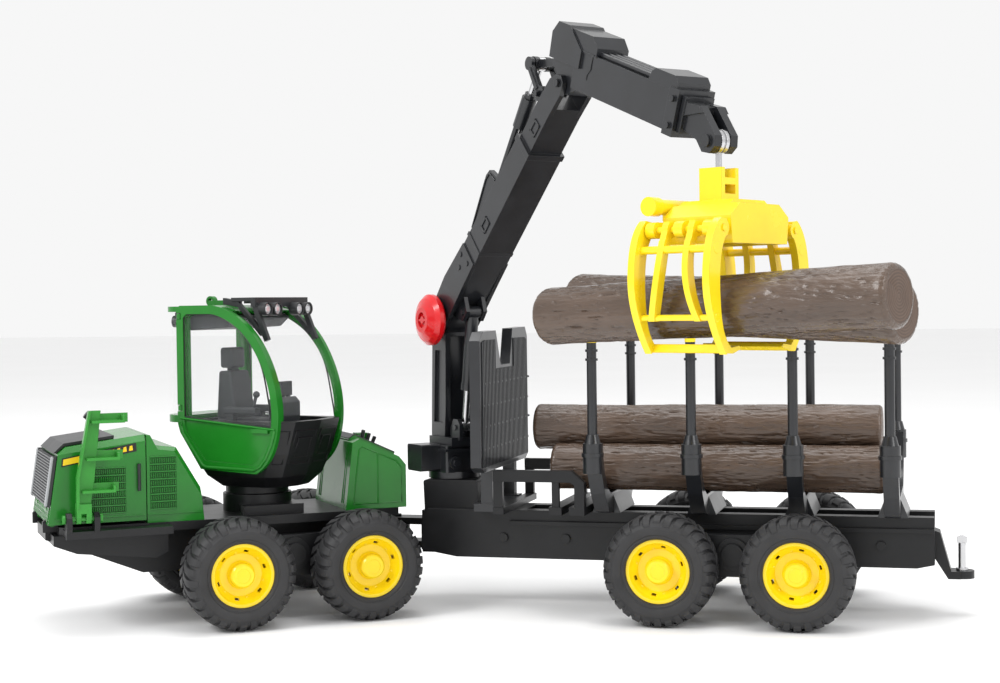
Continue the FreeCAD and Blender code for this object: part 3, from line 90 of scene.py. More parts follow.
# wheel radius, half the track and half the wheel spacing of a bogie
WHEEL_R, TRACK_HALF, BASE_HALF = 37.0, 72.5, 44.5
WAGON = upright(between_bogies("rear"), 0.0)
FRONT = upright(between_bogies("front"), heading("bogie_front_left_rock", -90))
CAB = upright(pivot("cab_slew"), math.radians(CAB_DEG))
crane_turn = heading("boom_lift", 90)
BOOM = pitched(pivot("boom_lift"), crane_turn, BOOM_DEG)
JIB = pitched(pivot("jib_fold"), crane_turn, JIB_DEG)
tip = pivot("tip_link_swing")
GRAPPLE = upright(tip, heading("held_logs_slide"), tip.z)


# ---- materials ----------------------------------------------------------------------
COAT_ROUGHNESS = 0.08
GLOSS_BELOW, GLOSS_ABOVE, GLOSS_LEAST = 0.05, 0.07, 0.02
GRAIN_RELIEF, BARK_RELIEF = 0.0004, 0.0009
EDGE_RADIUS, EDGE_SAMPLES = 0.00045, 3


def add_node(tree, kind, **inputs):
    """A node with its input values set; an underscore stands for a space in an input's name."""
    node = tree.nodes.new(kind)
    for name, value in inputs.items():
        node.inputs[name.replace("_", " ")].default_value = value
    return node


def rgba(color, gain=1.0):
    return tuple(min(1.0, channel * gain) for channel in color) + (1.0,)


def two_tone(tree, factor, dark, light, span=(0.0, 1.0)):
    """Colour ramp between two colours over a span of a factor."""
    ramp = tree.nodes.new("ShaderNodeValToRGB")
    for element, position, color in zip(ramp.color_ramp.elements, span, (dark, light)):
        element.position = position
        element.color = color
    tree.links.new(factor, ramp.inputs["Fac"])
    return ramp.outputs["Color"]


def moulded(name, color, rough, vary=0.1, patch=55.0, grain=1400.0, depth=0.06, edge=EDGE_RADIUS,
            metallic=0.0, coat=0.0, specular=0.4, stretch=None, relief=GRAIN_RELIEF):
    """Moulded surface: mottled colour, uneven gloss, fine grain and softened edges."""
    material = bpy.data.materials.new(name)
    material.use_nodes = True
    tree = material.node_tree
    shader = tree.nodes["Principled BSDF"]
    shader.inputs["Metallic"].default_value = metallic
    shader.inputs["Coat Weight"].default_value = coat
    shader.inputs["Coat Roughness"].default_value = COAT_ROUGHNESS
    shader.inputs["Specular IOR Level"].default_value = specular
    where = tree.nodes.new("ShaderNodeTexCoord")
    source = where.outputs["Object"]
    if stretch:
        mapping = tree.nodes.new("ShaderNodeMapping")
        mapping.inputs["Scale"].default_value = stretch
        tree.links.new(source, mapping.inputs["Vector"])
        source = mapping.outputs["Vector"]
    cloud = add_node(tree, "ShaderNodeTexNoise", Scale=patch, Detail=5.0, Roughness=0.6)
    tree.links.new(source, cloud.inputs["Vector"])
    mottle = two_tone(tree, cloud.outputs["Fac"], rgba(color, 1 - vary), rgba(color, 1 + vary),
                      span=(0.3, 0.7))
    tree.links.new(mottle, shader.inputs["Base Color"])
    gloss = add_node(tree, "ShaderNodeMapRange", To_Min=max(GLOSS_LEAST, rough - GLOSS_BELOW),
                     To_Max=rough + GLOSS_ABOVE)
    tree.links.new(cloud.outputs["Fac"], gloss.inputs["Value"])
    tree.links.new(gloss.outputs["Result"], shader.inputs["Roughness"])
    fine = add_node(tree, "ShaderNodeTexNoise", Scale=grain, Detail=3.0)
    tree.links.new(source, fine.inputs["Vector"])
    bump = add_node(tree, "ShaderNodeBump", Strength=depth, Distance=relief)
    tree.links.new(fine.outputs["Fac"], bump.inputs["Height"])
    if edge:
        soft = tree.nodes.new("ShaderNodeBevel")
        soft.samples = EDGE_SAMPLES
        soft.inputs["Radius"].default_value = edge
        tree.links.new(soft.outputs["Normal"], bump.inputs["Normal"])
    tree.links.new(bump.outputs["Normal"], shader.inputs["Normal"])
    return material


def clear_plastic(name, color, alpha, rough):
    """Thin clear moulding: mostly see-through, and glossy."""
    material = moulded(name, color, rough, vary=0.03, depth=0.02, edge=0.0)
    shader = material.node_tree.nodes["Principled BSDF"]
    shader.inputs["Alpha"].default_value = alpha
    shader.inputs["IOR"].default_value = 1.3
    return material


def bark(name, color):
    """Bark: grain stretched along x, over the ridges that the mesh has."""
    return moulded(name, color, 0.22, vary=0.3, patch=60.0, grain=620.0, depth=1.0, edge=0.0,
                   coat=0.3, stretch=(0.16, 1.0, 1.0), relief=BARK_RELIEF)


def rings(name, color):
    """Sawn log end: growth rings about the log's own axis."""
    material = moulded(name, color, 0.42, vary=0.1, patch=90.0, grain=600.0, depth=0.3, edge=0.0)
    tree = material.node_tree
    where = tree.nodes.new("ShaderNodeTexCoord")
    wave = add_node(tree, "ShaderNodeTexWave", Scale=190.0, Distortion=1.6, Detail=3.0,
                    Detail_Scale=0.6)
    wave.wave_type = "RINGS"
    wave.rings_direction = "X"
    tree.links.new(where.outputs["Object"], wave.inputs["Vector"])
    growth = two_tone(tree, wave.outputs["Fac"], rgba(color, 0.62), rgba(color, 1.12))
    tree.links.new(growth, tree.nodes["Principled BSDF"].inputs["Base Color"])
    return material


GREEN = moulded("green_plastic", (0.010, 0.175, 0.013), 0.24, vary=0.08, coat=0.25, specular=0.3)
# painted shade: a darker copy of the body green that stands in for the shade inside the grille
# recesses
RECESS_SHADE_GREEN = moulded("green_painted_recess_shade", (0.003, 0.060, 0.004), 0.4, vary=0.15, specular=0.2)
LIGHT_GREEN = moulded("ladder_green_plastic", (0.030, 0.255, 0.028), 0.32, vary=0.08, coat=0.15,
                      specular=0.3)
BLACK = moulded("chassis_black_plastic", (0.0085, 0.0088, 0.0098), 0.36, vary=0.2, depth=0.1,
                specular=0.35)
CRANE_BLACK = moulded("crane_black_plastic", (0.0100, 0.0110, 0.0135), 0.30, vary=0.25, depth=0.04,
                      coat=0.2, specular=0.5)
GREY = moulded("trim_grey_plastic", (0.022, 0.023, 0.025), 0.38, vary=0.15)
SEAT = moulded("seat_grey_plastic", (0.026, 0.028, 0.032), 0.5, vary=0.14, depth=0.25)
MID_GREY = moulded("mesh_grey_plastic", (0.095, 0.098, 0.102), 0.35, vary=0.12)
PALE = moulded("silver_grey_plastic", (0.30, 0.31, 0.32), 0.35, vary=0.1)
TYRE = moulded("tyre_rubber", (0.026, 0.026, 0.0275), 0.55, vary=0.22, patch=70.0, grain=900.0,
               depth=0.22)
YELLOW = moulded("rim_yellow_plastic", (0.93, 0.67, 0.006), 0.24, vary=0.05, coat=0.3)
GRAPPLE_YELLOW = moulded("grapple_yellow_plastic", (0.95, 0.70, 0.010), 0.25, vary=0.05,
                         coat=0.4)
RED = moulded("knob_red_plastic", (0.62, 0.006, 0.010), 0.25, vary=0.08, coat=0.35)
STEEL = moulded("polished_steel", (0.55, 0.55, 0.56), 0.2, vary=0.08, metallic=1.0,
                grain=2600.0)
BAND = moulded("band_yellow_print", (0.90, 0.62, 0.01), 0.3, vary=0.04, edge=0.0)
INK = moulded("band_black_print", (0.01, 0.01, 0.01), 0.3, vary=0.1, edge=0.0)
CLEAR = clear_plastic("clear_plastic", (0.90, 0.93, 0.95), 0.022, 0.03)
LENS = moulded("lamp_reflector", (0.62, 0.64, 0.66), 0.16, vary=0.2, patch=500.0, metallic=0.4)
BARK = bark("bark_brown_plastic", (0.088, 0.057, 0.040))
CUT = rings("cut_end_plastic", (0.105, 0.066, 0.046))

# tyres and rims are dressed by their name's beginning, further down
CAD_LOOKS = (
    (BLACK, ("front_frame", "centre_yoke", "rear_frame", "bunk_rail", "cab_tub",
             "bogie_front_left", "bogie_front_right", "bogie_rear_left", "bogie_rear_right",
             "engine_block")),
    (GREEN, ("hood", "rear_cowl", "tail_cover", "cab_frame", "cab_door")),
    (LIGHT_GREEN, ("boarding_ladder",)),
    (GREY, ("hood_trim", "roof_rack")),
    (SEAT, ("cab_interior",)),
    (CLEAR, ("cab_glazing", "door_window")),
    (CRANE_BLACK, ("headboard", "bolsters", "stakes", "slew_base", "crane_column", "main_boom",
                   "jib", "telescope", "lift_cylinder", "fold_cylinder", "guide_link",
                   "coupler_link")),
    (RED, ("height_knob",)),
    (STEEL, ("lift_rod", "fold_rod", "tip_link", "hitch_pin")),
    (GRAPPLE_YELLOW, ("grapple_frame", "tine_near", "tine_far", "stake_caps")),
    (BARK, ("held_logs", "bunk_logs")),
)


def dress(node, material):
    """Gives one node of the CAD part its material."""
    mesh = frame["nodes"][node].data
    mesh.materials.clear()
    mesh.materials.append(material)


for look, nodes in CAD_LOOKS:
    for node_name in nodes:
        dress(node_name, look)
for node_name in frame["nodes"]:
    if node_name.startswith("tyre_"):
        dress(node_name, TYRE)
    elif node_name.startswith("rim_"):
        dress(node_name, YELLOW)


# ---- mesh building -------------------------------------------------------------------
BEVEL_STEPS = 2


class Form:
    """Collects closed shapes in a local frame, in millimetres, and becomes one piece."""

    def __init__(self):
        self.bm = bmesh.new()

    def box(self, x0, x1, y0, y1, z0, z1):
        """A box between two limits on each axis."""
        middle = Matrix.Translation(((x0 + x1) / 2, (y0 + y1) / 2, (z0 + z1) / 2))
        size = Matrix.Diagonal((x1 - x0, y1 - y0, z1 - z0, 1))
        bmesh.ops.create_cube(self.bm, size=1, matrix=middle @ size)

    def rod(self, a, b, r0, r1, segments=20):
        """A round bar or cone between two points, with a radius at each."""
        a, b = Vector(a), Vector(b)
        turn = (b - a).to_track_quat("Z", "Y").to_matrix().to_4x4()
        bmesh.ops.create_cone(self.bm, cap_ends=True, segments=segments, radius1=r0, radius2=r1,
                              depth=(b - a).length, matrix=Matrix.Translation((a + b) / 2) @ turn)

    def prism(self, outline, axis, lo, hi):
        """Extrudes a 2-D outline; axis y takes (x, z) pairs and axis x takes (y, z) pairs."""
        def corner(p, h):
            return (p[0], h, p[1]) if axis == "y" else (h, p[0], p[1])
        self.loft([[self.bm.verts.new(corner(p, h)) for p in outline] for h in (lo, hi)])

    def skin(self, loops):
        """Quads between successive loops of equal length."""
        for first, second in zip(loops, loops[1:]):
            count = len(first)
            for i in range(count):
                j = (i + 1) % count
                self.bm.faces.new((first[i], first[j], second[j], second[i]))

    def loft(self, loops):
        """A closed body through successive loops, with a face at each end."""
        self.bm.faces.new(loops[0])
        self.bm.faces.new(list(reversed(loops[-1])))
        self.skin(loops)

    def lathe(self, profile, segments):
        """Turns a closed profile of (radius, along) pairs about the local y axis."""
        loops = []
        for k in range(segments):
            a = 2 * math.pi * k / segments
            loops.append([self.bm.verts.new((r * math.cos(a), y, r * math.sin(a)))
                          for r, y in profile])
        self.skin(loops + loops[:1])

    def tube(self, points, radius, segments=8):
        """A round bar along a polyline."""
        points = [Vector(p) for p in points]
        angles = [2 * math.pi * k / segments for k in range(segments)]
        ring = [Vector((radius * math.cos(a), radius * math.sin(a), 0)) for a in angles]
        loops = []
        for i, p in enumerate(points):
            ahead = points[min(i + 1, len(points) - 1)] - points[max(i - 1, 0)]
            turn = ahead.to_track_quat("Z", "Y").to_matrix()
            loops.append([self.bm.verts.new(p + turn @ spoke) for spoke in ring])
        self.loft(loops)

    def both_sides(self):
        """Repeats everything mirrored across the frame's own middle plane."""
        source = self.bm.verts[:] + self.bm.edges[:] + self.bm.faces[:]
        copy = bmesh.ops.duplicate(self.bm, geom=source)["geom"]
        verts = [item for item in copy if isinstance(item, bmesh.types.BMVert)]
        bmesh.ops.scale(self.bm, vec=(1, -1, 1), verts=verts)

    def done(self, name, place, body, material, slot, bevel=0.0, angle=35.0):
        """Makes the object, rides it on its body and gives it its material."""
        bmesh.ops.recalc_face_normals(self.bm, faces=self.bm.faces[:])
        mesh = bpy.data.meshes.new(name)
        self.bm.to_mesh(mesh)
        self.bm.free()
        mesh.transform(Matrix.Scale(1 / MM_PER_M, 4))
        for polygon in mesh.polygons:
            polygon.use_smooth = True
        mesh.set_sharp_from_angle(angle=math.radians(angle))
        piece = bpy.data.objects.new(name, mesh)
        bpy.context.scene.collection.objects.link(piece)
        piece.matrix_world = place
        mesh.materials.append(material)
        if bevel:
            cut = piece.modifiers.new("edges", "BEVEL")
            cut.width = bevel / MM_PER_M
            cut.segments = BEVEL_STEPS
            cut.limit_method = "ANGLE"
            cut.angle_limit = math.radians(angle)
            cut.harden_normals = True
        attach(piece, body)
        return piece


# ---- wheels --------------------------------------------------------------------------
# half of a tyre's cross-section, bead to crown: (radius, distance from the middle plane)
TYRE_HALF = [(21.0, 14.5), (21.1, 15.4), (21.8, 16.5), (22.9, 17.2), (23.3, 16.9), (23.9, 17.0),
             (24.3, 17.6), (26.0, 18.2), (28.3, 18.45), (29.8, 18.2), (30.1, 17.8), (31.0, 17.5),
             (32.6, 16.2), (34.1, 14.2), (34.9, 11.0), (35.2, 6.0)]
CROWN = (35.3, 0.0)
TYRE_SEGMENTS = 96
# one lug, from the middle outwards: (distance, top radius, root radius, lead in radians, width)
LUG_PATH = [(0.9, 37.0, 34.0, 0.0, 4.6), (6.5, 37.0, 34.0, 0.085, 5.0),
            (11.2, 36.7, 33.6, 0.125, 5.2), (14.6, 35.6, 32.4, 0.135, 5.0),
            (16.9, 33.4, 31.0, 0.14, 4.6), (18.0, 31.4, 30.0, 0.14, 3.8)]
SHORT_LUG_STEPS = 5
LUGS_PER_SIDE = 30
LUG_ROOT_FLARE = 1.15


def lug_loop(form, side, base, step):
    """One cross-section of a lug: two corners on its top and two at its root."""
    y, top, bottom, lead, width = step
    middle = base + lead
    half = width / 2 / top
    corners = ((top, -1), (top, 1), (bottom, LUG_ROOT_FLARE), (bottom, -LUG_ROOT_FLARE))
    return [form.bm.verts.new((r * math.cos(middle + s * half), side * y,
                               r * math.sin(middle + s * half)))
            for r, s in corners]


def tyre_form(spin):
    """A tyre with every other lug longer, staggered from side to side and turned by spin."""
    form = Form()
    form.lathe(TYRE_HALF + [CROWN] + [(r, -y) for r, y in reversed(TYRE_HALF)], TYRE_SEGMENTS)
    for side in (-1, 1):
        stagger = 0.5 if side > 0 else 0.0
        for k in range(LUGS_PER_SIDE):
            base = 2 * math.pi * (k + stagger) / LUGS_PER_SIDE
            path = LUG_PATH[:SHORT_LUG_STEPS] if k % 2 else LUG_PATH
            form.loft([lug_loop(form, side, base, step) for step in path])
    turn = Matrix.Rotation(spin, 3, "Y")
    bmesh.ops.rotate(form.bm, matrix=turn, verts=form.bm.verts[:])
    return form


RIM_FACE = -14.5
HUB_CAP = [(0.01, -1.2), (4.6, -1.2), (5.0, -0.9), (5.0, 0.0), (0.01, 0.0)]
HUB_RING = [(7.6, 8.4), (8.2, 7.7), (8.9, 8.6), (8.9, 9.6), (7.6, 9.6)]
BOLTS, BOLT_CIRCLE, BOLT_START = 10, 11.1, 0.3
PADS, PAD_CIRCLE, PAD_START, PAD_DRAFT = 6, 15.9, 0.75, 0.97


def rim_detail_form():
    """Hub cap, hub ring, bolts and pads on the outer face, which looks along -y."""
    form = Form()
    form.lathe([(r, RIM_FACE + y) for r, y in HUB_CAP], 40)
    form.lathe([(r, RIM_FACE + y) for r, y in HUB_RING], 48)
    for k in range(BOLTS):
        a = 2 * math.pi * (k + BOLT_START) / BOLTS
        x, z = BOLT_CIRCLE * math.cos(a), BOLT_CIRCLE * math.sin(a)
        form.rod((x, RIM_FACE + 9.3, z), (x, RIM_FACE + 7.6, z), 1.15, 0.95, segments=12)
    for k in range(PADS):
        a = 2 * math.pi * k / PADS + PAD_START
        x, z = PAD_CIRCLE * math.cos(a), PAD_CIRCLE * math.sin(a)
        form.rod((x, RIM_FACE + 7.4, z), (x * PAD_DRAFT, RIM_FACE + 4.9, z * PAD_DRAFT), 1.5, 1.0,
                 segments=12)
    return form


for section, section_place in (("front", FRONT), ("rear", WAGON)):
    for side_name, side in (("left", -1), ("right", 1)):
        for letter, along in (("a", -BASE_HALF), ("b", BASE_HALF)):
            end = "%s_%s_%s" % (section, side_name, letter)
            spin = random.Random(end).uniform(0.0, 2 * math.pi)
            place = shifted(section_place, along, side * TRACK_HALF, WHEEL_R)
            rubber = tyre_form(spin).done("tread_" + end, place, "wheel_" + end, TYRE, "tyre_black",
                                          bevel=0.45)
            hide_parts("tyre_" + end)
            face_out = place if side < 0 else place @ Matrix.Rotation(math.pi, 4, "Z")
            rim_detail_form().done("rim_bolts_" + end, face_out, "wheel_" + end, YELLOW,
                                   "rim_yellow", bevel=0.2)


# ---- logs -----------------------------------------------------------------------------
LOG_AROUND, LOG_STEP = 132, 1.9
END_ROUNDING, ROUNDING_STEPS = 3.2, 5
END_FADE = 9.0
CUT_RINGS, CUT_DEPTH, SAW_RIPPLE = 14, 0.12, 0.10
SPLIT_AT, SPLIT_SWEEP, SPLIT_SHARPNESS, SPLIT_DEPTH = 2.2, 0.3, 5, 0.7


def bark_height(x, a, radius, seed):
    """Bark relief in millimetres, never above zero: plates, fibres, lumps and cracks."""
    c, s = math.cos(a) * radius, math.sin(a) * radius
    sway = 2.2 * noise.noise(Vector((x * 0.03, c * 0.1, s * 0.1 + seed)))
    plates = noise.noise(Vector((x * 0.022, c * 0.22 + sway * 0.4 + seed, s * 0.22)))
    fibre = noise.noise(Vector((x * 0.06, (c + sway) * 0.75, (s - sway) * 0.75 + seed * 3)))
    crack = noise.noise(Vector((x * 0.035 + seed, (c + sway) * 0.42, s * 0.42)))
    deep = -0.75 * max(0.0, 1 - abs(crack) * 16)
    lump = noise.noise(Vector((x * 0.012 + seed * 2, c * 0.05, s * 0.05)))
    return min(0.0, -0.7 + 0.45 * plates + 0.42 * fibre + 0.35 * lump + deep * 1.3)


def log_stations(x0, x1):
    """(x, inset) pairs along a log: rounded over at both ends, evenly spaced between."""
    length = x1 - x0
    count = int(length / LOG_STEP)
    body = [(x0 + END_ROUNDING + (length - 2 * END_ROUNDING) * i / count, 0.0)
            for i in range(1, count)]
    left = []
    for k in range(ROUNDING_STEPS, -1, -1):
        turn = k / ROUNDING_STEPS * math.pi / 2
        left.append((x0 + END_ROUNDING * (1 - math.sin(turn)), END_ROUNDING * (1 - math.cos(turn))))
    return left + body + [(x0 + x1 - x, inset) for x, inset in reversed(left)]


def sawn_end(form, loop, outward):
    """Closes a log with shrinking rings: a rippled saw cut with one split. Returns its faces."""
    faces = []
    previous = loop
    edge_x = loop[0].co.x
    for step in range(CUT_RINGS):
        shrink = 1 - (step + 1) / (CUT_RINGS + 1)
        ripple = SAW_RIPPLE * (1 if step % 2 else -1)
        ring = []
        for k, v in enumerate(loop):
            off = 2 * math.pi * k / LOG_AROUND - SPLIT_AT - SPLIT_SWEEP * shrink
            split = math.exp(-(off * SPLIT_SHARPNESS) ** 2) * SPLIT_DEPTH * shrink
            x = edge_x - outward * (CUT_DEPTH + ripple + split)
            ring.append(form.bm.verts.new((x, v.co.y * shrink, v.co.z * shrink)))
        for k in range(LOG_AROUND):
            j = (k + 1) % LOG_AROUND
            faces.append(form.bm.faces.new((previous[k], previous[j], ring[j], ring[k])))
        previous = ring
    faces.append(form.bm.faces.new(previous))
    return faces


def log_piece(name, place, body, radius, x0, x1, y, z, seed, tilt=0.0):
    """One log along x, with bark around it and a sawn face at each end."""
    form = Form()
    middle_x = (x0 + x1) / 2
    loops = []
    for x, inset in log_stations(x0, x1):
        near_end = min(1.0, min(x - x0, x1 - x) / END_FADE)
        waist = 0.105 * (1 - near_end)
        loop = []
        for k in range(LOG_AROUND):
            a = 2 * math.pi * k / LOG_AROUND
            relief = bark_height(x, a, radius, seed) * (0.55 + 0.45 * near_end)
            r = radius - inset + relief - waist
            loop.append(form.bm.verts.new((x - middle_x, r * math.cos(a), r * math.sin(a))))
        loops.append(loop)
    form.skin(loops)
    for face in sawn_end(form, loops[0], -1) + sawn_end(form, loops[-1], 1):
        face.material_index = 1
    centre = shifted(place, middle_x, y, z) @ Matrix.Rotation(-math.radians(tilt), 4, "Y")
    piece = form.done(name, centre, body, BARK, "bark_brown", angle=70.0)
    piece.data.materials.append(CUT)
    return piece


LOG_R, SADDLE_Z, LOG_SPREAD = 16.5, 82.0, 20.5
low_z = SADDLE_Z + LOG_R + 0.3
top_z = low_z + math.sqrt((2 * LOG_R + 0.1) ** 2 - LOG_SPREAD ** 2)
bunk = [log_piece("bunk_log_" + which, WAGON, "bunk_logs", LOG_R, x0, x1, y, z, seed)
        for which, x0, x1, y, z, seed in (("near", -128, 98, -LOG_SPREAD, low_z, 1.3),
                                          ("far", -134, 100, LOG_SPREAD, low_z, 5.1),
                                          ("top", -145, 96, 0, top_z, 9.7))]
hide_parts("bunk_logs")
HELD_R, HELD_Z, HELD_GAP, HELD_TILT = 17.5, -92.4, 0.3, 2.2
held = [log_piece("held_log_" + which, GRAPPLE, "held_logs", HELD_R, x0, x1,
                  side * (HELD_R + HELD_GAP), HELD_Z, seed, -side * HELD_TILT)
        for which, x0, x1, side, seed in (("near", -111, 121, -1, 14.2),
                                          ("far", -117, 105, 1, 20.6))]
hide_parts("held_logs")


# ---- hood, cowl and nose ---------------------------------------------------------------
BODY_SIDE = -43.0
BAR_PITCH, BAR_HALF, FRAME_HALF, BAR_GAP = 1.35, 0.30, 0.45, 0.9
# piece name, body, x limits, z limits, rows, x limits of the rail below
SIDE_GRILLES = (
    ("hood", "hood", (-137.0, -112.0), (78.0, 108.0), 6, (-158.5, -100.0)),
    ("cowl", "front", (-96.0, -78.5), (79.0, 114.0), 7, (-97.5, -61.5)),
)


def grille_panel(form, span, heights, rows):
    """Raised frame lines and short vertical bars on a side face."""
    (x0, x1), (z0, z1) = span, heights
    row_height = (z1 - z0) / rows
    for r in range(rows + 1):
        z = z0 + row_height * r
        form.box(x0, x1, BODY_SIDE - 0.55, BODY_SIDE + 0.3, z - FRAME_HALF, z + FRAME_HALF)
    count = int((x1 - x0) / BAR_PITCH)
    for r in range(rows):
        z = z0 + row_height * r
        for k in range(count):
            x = x0 + (k + 0.5) * (x1 - x0) / count
            form.box(x - BAR_HALF, x + BAR_HALF, BODY_SIDE - 0.5, BODY_SIDE + 0.3,
                     z + BAR_GAP, z + row_height - BAR_GAP)


for part, body, span, heights, rows, rail in SIDE_GRILLES:
    grille = Form()
    grille_panel(grille, span, heights, rows)
    grille.box(*rail, BODY_SIDE - 0.5, BODY_SIDE + 0.2, 75.2, 76.2)
    grille.both_sides()
    grille.done(part + "_side_grilles", FRONT, body, GREEN, "body_green")
# dark green sheets behind the grille bars: painted shade in the recesses
for part, body, span, heights, _, _ in SIDE_GRILLES:
    ground = Form()
    ground.box(*span, BODY_SIDE - 0.12, BODY_SIDE + 0.4, *heights)
    ground.both_sides()
    ground.done(part + "_grille_painted_shade", FRONT, body, RECESS_SHADE_GREEN, "body_green")

BAND_START, BAND_FOOT, BAND_RISE = -153.5, 109.8, 0.172
BAND_GROUND, INK_PROUD, PAINT_PROUD = -42.7, -43.2, -43.32
STRIPES, STRIPE_START, STRIPE_PITCH, STRIPE_WIDTH = 6, -129.6, 4.0, 2.6


def band_patch(x0, x1, lift, height):
    """Part of the side band between two stations, following the hood's rising top edge."""
    foot0, foot1 = (BAND_FOOT + lift + BAND_RISE * (x - BAND_START) for x in (x0, x1))
    return [(x0, foot0), (x1, foot1), (x1 - 0.4, foot1 + height), (x0 + 0.5, foot0 + height)]


border = Form()
border.prism(band_patch(BAND_START, -104.5, 0.0, 5.6), "y", INK_PROUD, BAND_GROUND)
border.both_sides()
border.done("hood_band_border", FRONT, "hood", INK, "body_green")
fill = Form()
fill.prism(band_patch(-152.6, -132.0, 0.8, 4.0), "y", PAINT_PROUD, BAND_GROUND)
for k in range(STRIPES):
    x = STRIPE_START + STRIPE_PITCH * k
    fill.prism(band_patch(x, x + STRIPE_WIDTH, 1.2, 3.2), "y", PAINT_PROUD, BAND_GROUND)
fill.both_sides()
fill.done("hood_band_fill", FRONT, "hood", BAND, "body_green")

NOSE_FOOT, NOSE_LEAN = (-162.5, 72.0), (162.5 - 155.5) / (118.0 - 72.0)
nose = Form()
for r in range(4):
    z = 74.2 + 2.9 * r
    x = NOSE_FOOT[0] + NOSE_LEAN * (z - NOSE_FOOT[1])
    nose.box(x - 0.5, x + 0.5, -39, 39, z - 0.4, z + 0.4)
NOSE_BARS, NOSE_BAR_REACH = 34, 38.5
for k in range(NOSE_BARS):
    y = -NOSE_BAR_REACH + 2 * NOSE_BAR_REACH * k / (NOSE_BARS - 1)
    nose.prism([(-162.8, 74), (-161.9, 74), (-160.5, 83.2), (-161.3, 83.2)], "y", y - 0.5, y + 0.5)
nose.done("nose_grille", FRONT, "hood", GREEN, "body_green")

posts = Form()
for y0, y1 in ((-42.2, -36.4), (36.4, 42.2)):
    posts.prism([(-164.3, 84.5), (-162.8, 84.5), (-158.0, 116.5), (-159.4, 116.5)], "y", y0, y1)
posts.done("nose_side_posts", FRONT, "hood", PALE, "trim_grey", bevel=0.5)

MESH_FOOT, MESH_LEAN = (-163.2, 84.5), 0.153
MESH_ROWS, MESH_ROW_PITCH, MESH_COLUMNS, MESH_COLUMN_PITCH = 17, 1.85, 25, 3
bars = Form()
for k in range(MESH_ROWS):
    z = 85.6 + MESH_ROW_PITCH * k
    x = MESH_FOOT[0] + (z - MESH_FOOT[1]) * MESH_LEAN
    bars.box(x - 0.7, x + 0.4, -36.2, 36.2, z - 0.35, z + 0.35)
for k in range(MESH_COLUMNS):
    y = -36 + MESH_COLUMN_PITCH * k
    bars.prism([(-163.7, 84.8), (-162.9, 84.8), (-158.1, 116.2), (-158.9, 116.2)], "y",
               y - 0.3, y + 0.3)
bars.done("nose_bars", FRONT, "hood", MID_GREY, "trim_grey")


# ---- cab ---------------------------------------------------------------------------------
SEAL_INSET = 6.3
WINDOW_TOP = 214.5


def smooth_line(points, per=8):
    """Catmull-Rom points through the given ones."""
    result = []
    for i in range(len(points) - 1):
        p0, p1 = points[max(i - 1, 0)], points[i]
        p2, p3 = points[i + 1], points[min(i + 2, len(points) - 1)]
        for k in range(per):
            t = k / per
            result.append(tuple(
                0.5 * ((2 * b) + (c - a) * t + (2 * a - 5 * b + 4 * c - d) * t * t
                       + (3 * b - a - 3 * c + d) * t ** 3)
                for a, b, c, d in zip(p0, p1, p2, p3)))
    result.append(tuple(points[-1]))
    return result


def window_line(inset, y):
    """Closed outline of a side window at one y, inset from the cab frame's outer edge."""
    top = WINDOW_TOP - inset
    foot = (-39 + inset, y, 136.9)
    arch = smooth_line(at_y(y, ((49.6 - inset, 130.2), (47.0 - inset * 0.95, 145),
                                (40 - inset * 0.93, 176 - inset * 0.3),
                                (25 - inset * 0.75, 198 - inset * 0.7),
                                (6 - inset * 0.4, 211 - inset), (-8, top))))
    return [foot] + arch + [(-37 + inset, y, top), (-39 + inset, y, top - 2.0), foot]


DOOR_FACE = -38.0
DOOR_BEAD = at_y(DOOR_FACE, ((-36.2, 134.0), (-36.2, 130.5), (-34.3, 125.0), (-17.4, 103.6),
                             (-14.0, 102.4), (27.5, 101.8), (33.0, 104.6), (37.5, 110.0),
                             (42.4, 119.5), (45.6, 129.2)))
door_rim = Form()
door_rim.tube(DOOR_BEAD, 1.3, 10)
door_rim.tube(at_y(DOOR_FACE, ((-36.2, 136.0), (46.0, 129.6))), 0.9, 10)
door_rim.done("door_rim", CAB, "door", GREEN, "body_green")

TUB_PANELS = (
    ((36.7, -31.0, 105), (42.1, -25.9, 105), (50.2, -27.1, 128), (44.8, -32.4, 128)),
    ((44.2, -21.8, 105), (46.6, -2.6, 105), (54.7, -2.6, 128), (52.3, -22.8, 128)),
    ((46.4, -18.6, 110), (48.2, -6.0, 110), (53.1, -6.0, 123), (51.4, -19.0, 123)),
)
tub_lines = Form()
for corners in TUB_PANELS:
    tub_lines.tube(corners + corners[:1], 0.65)
tub_lines.both_sides()
tub_lines.done("tub_panel_lines", CAB, "cab", BLACK, "chassis_black")

tail_trim = Form()
tail_trim.prism([(47.4, 119.2), (51.5, 122.2), (81.6, 108.2), (80.2, 105.4), (51, 118.2)], "y",
                -25, 25)
for k in range(3):
    lever_foot = (58 + 7 * k, -18 + 12 * k, 113 - 3 * k)
    lever_top = (60 + 8 * k, -20 + 12 * k, 124.3 - 3.4 * k)
    tail_trim.rod(lever_foot, lever_top, 1.6, 1.4, 12)
tail_trim.done("tail_cover_top", FRONT, "front", GREY, "trim_grey", bevel=0.4)

TAIL_SIDE = -39.0
tail_lines = Form()
tail_lines.tube(at_y(TAIL_SIDE, ((46, 74), (50.5, 112), (53, 114), (78, 103), (81.6, 98),
                                 (81.6, 74), (46, 74))), 0.5)
tail_lines.tube(at_y(TAIL_SIDE, ((64, 74), (64, 109))), 0.5)
tail_lines.both_sides()
for y in (-31, -27, 27, 31):
    tail_lines.tube([(40.9, y, 74), (46.1, y, 114)], 0.55)
tail_lines.done("tail_cover_lines", FRONT, "front", GREEN, "body_green")

for name, y, body in (("door_window_seal", -37.2, "door"), ("far_window_seal", 35.4, "cab")):
    seal = Form()
    seal.tube(window_line(SEAL_INSET, y), 0.55)
    seal.done(name, CAB, body, INK, "trim_grey")

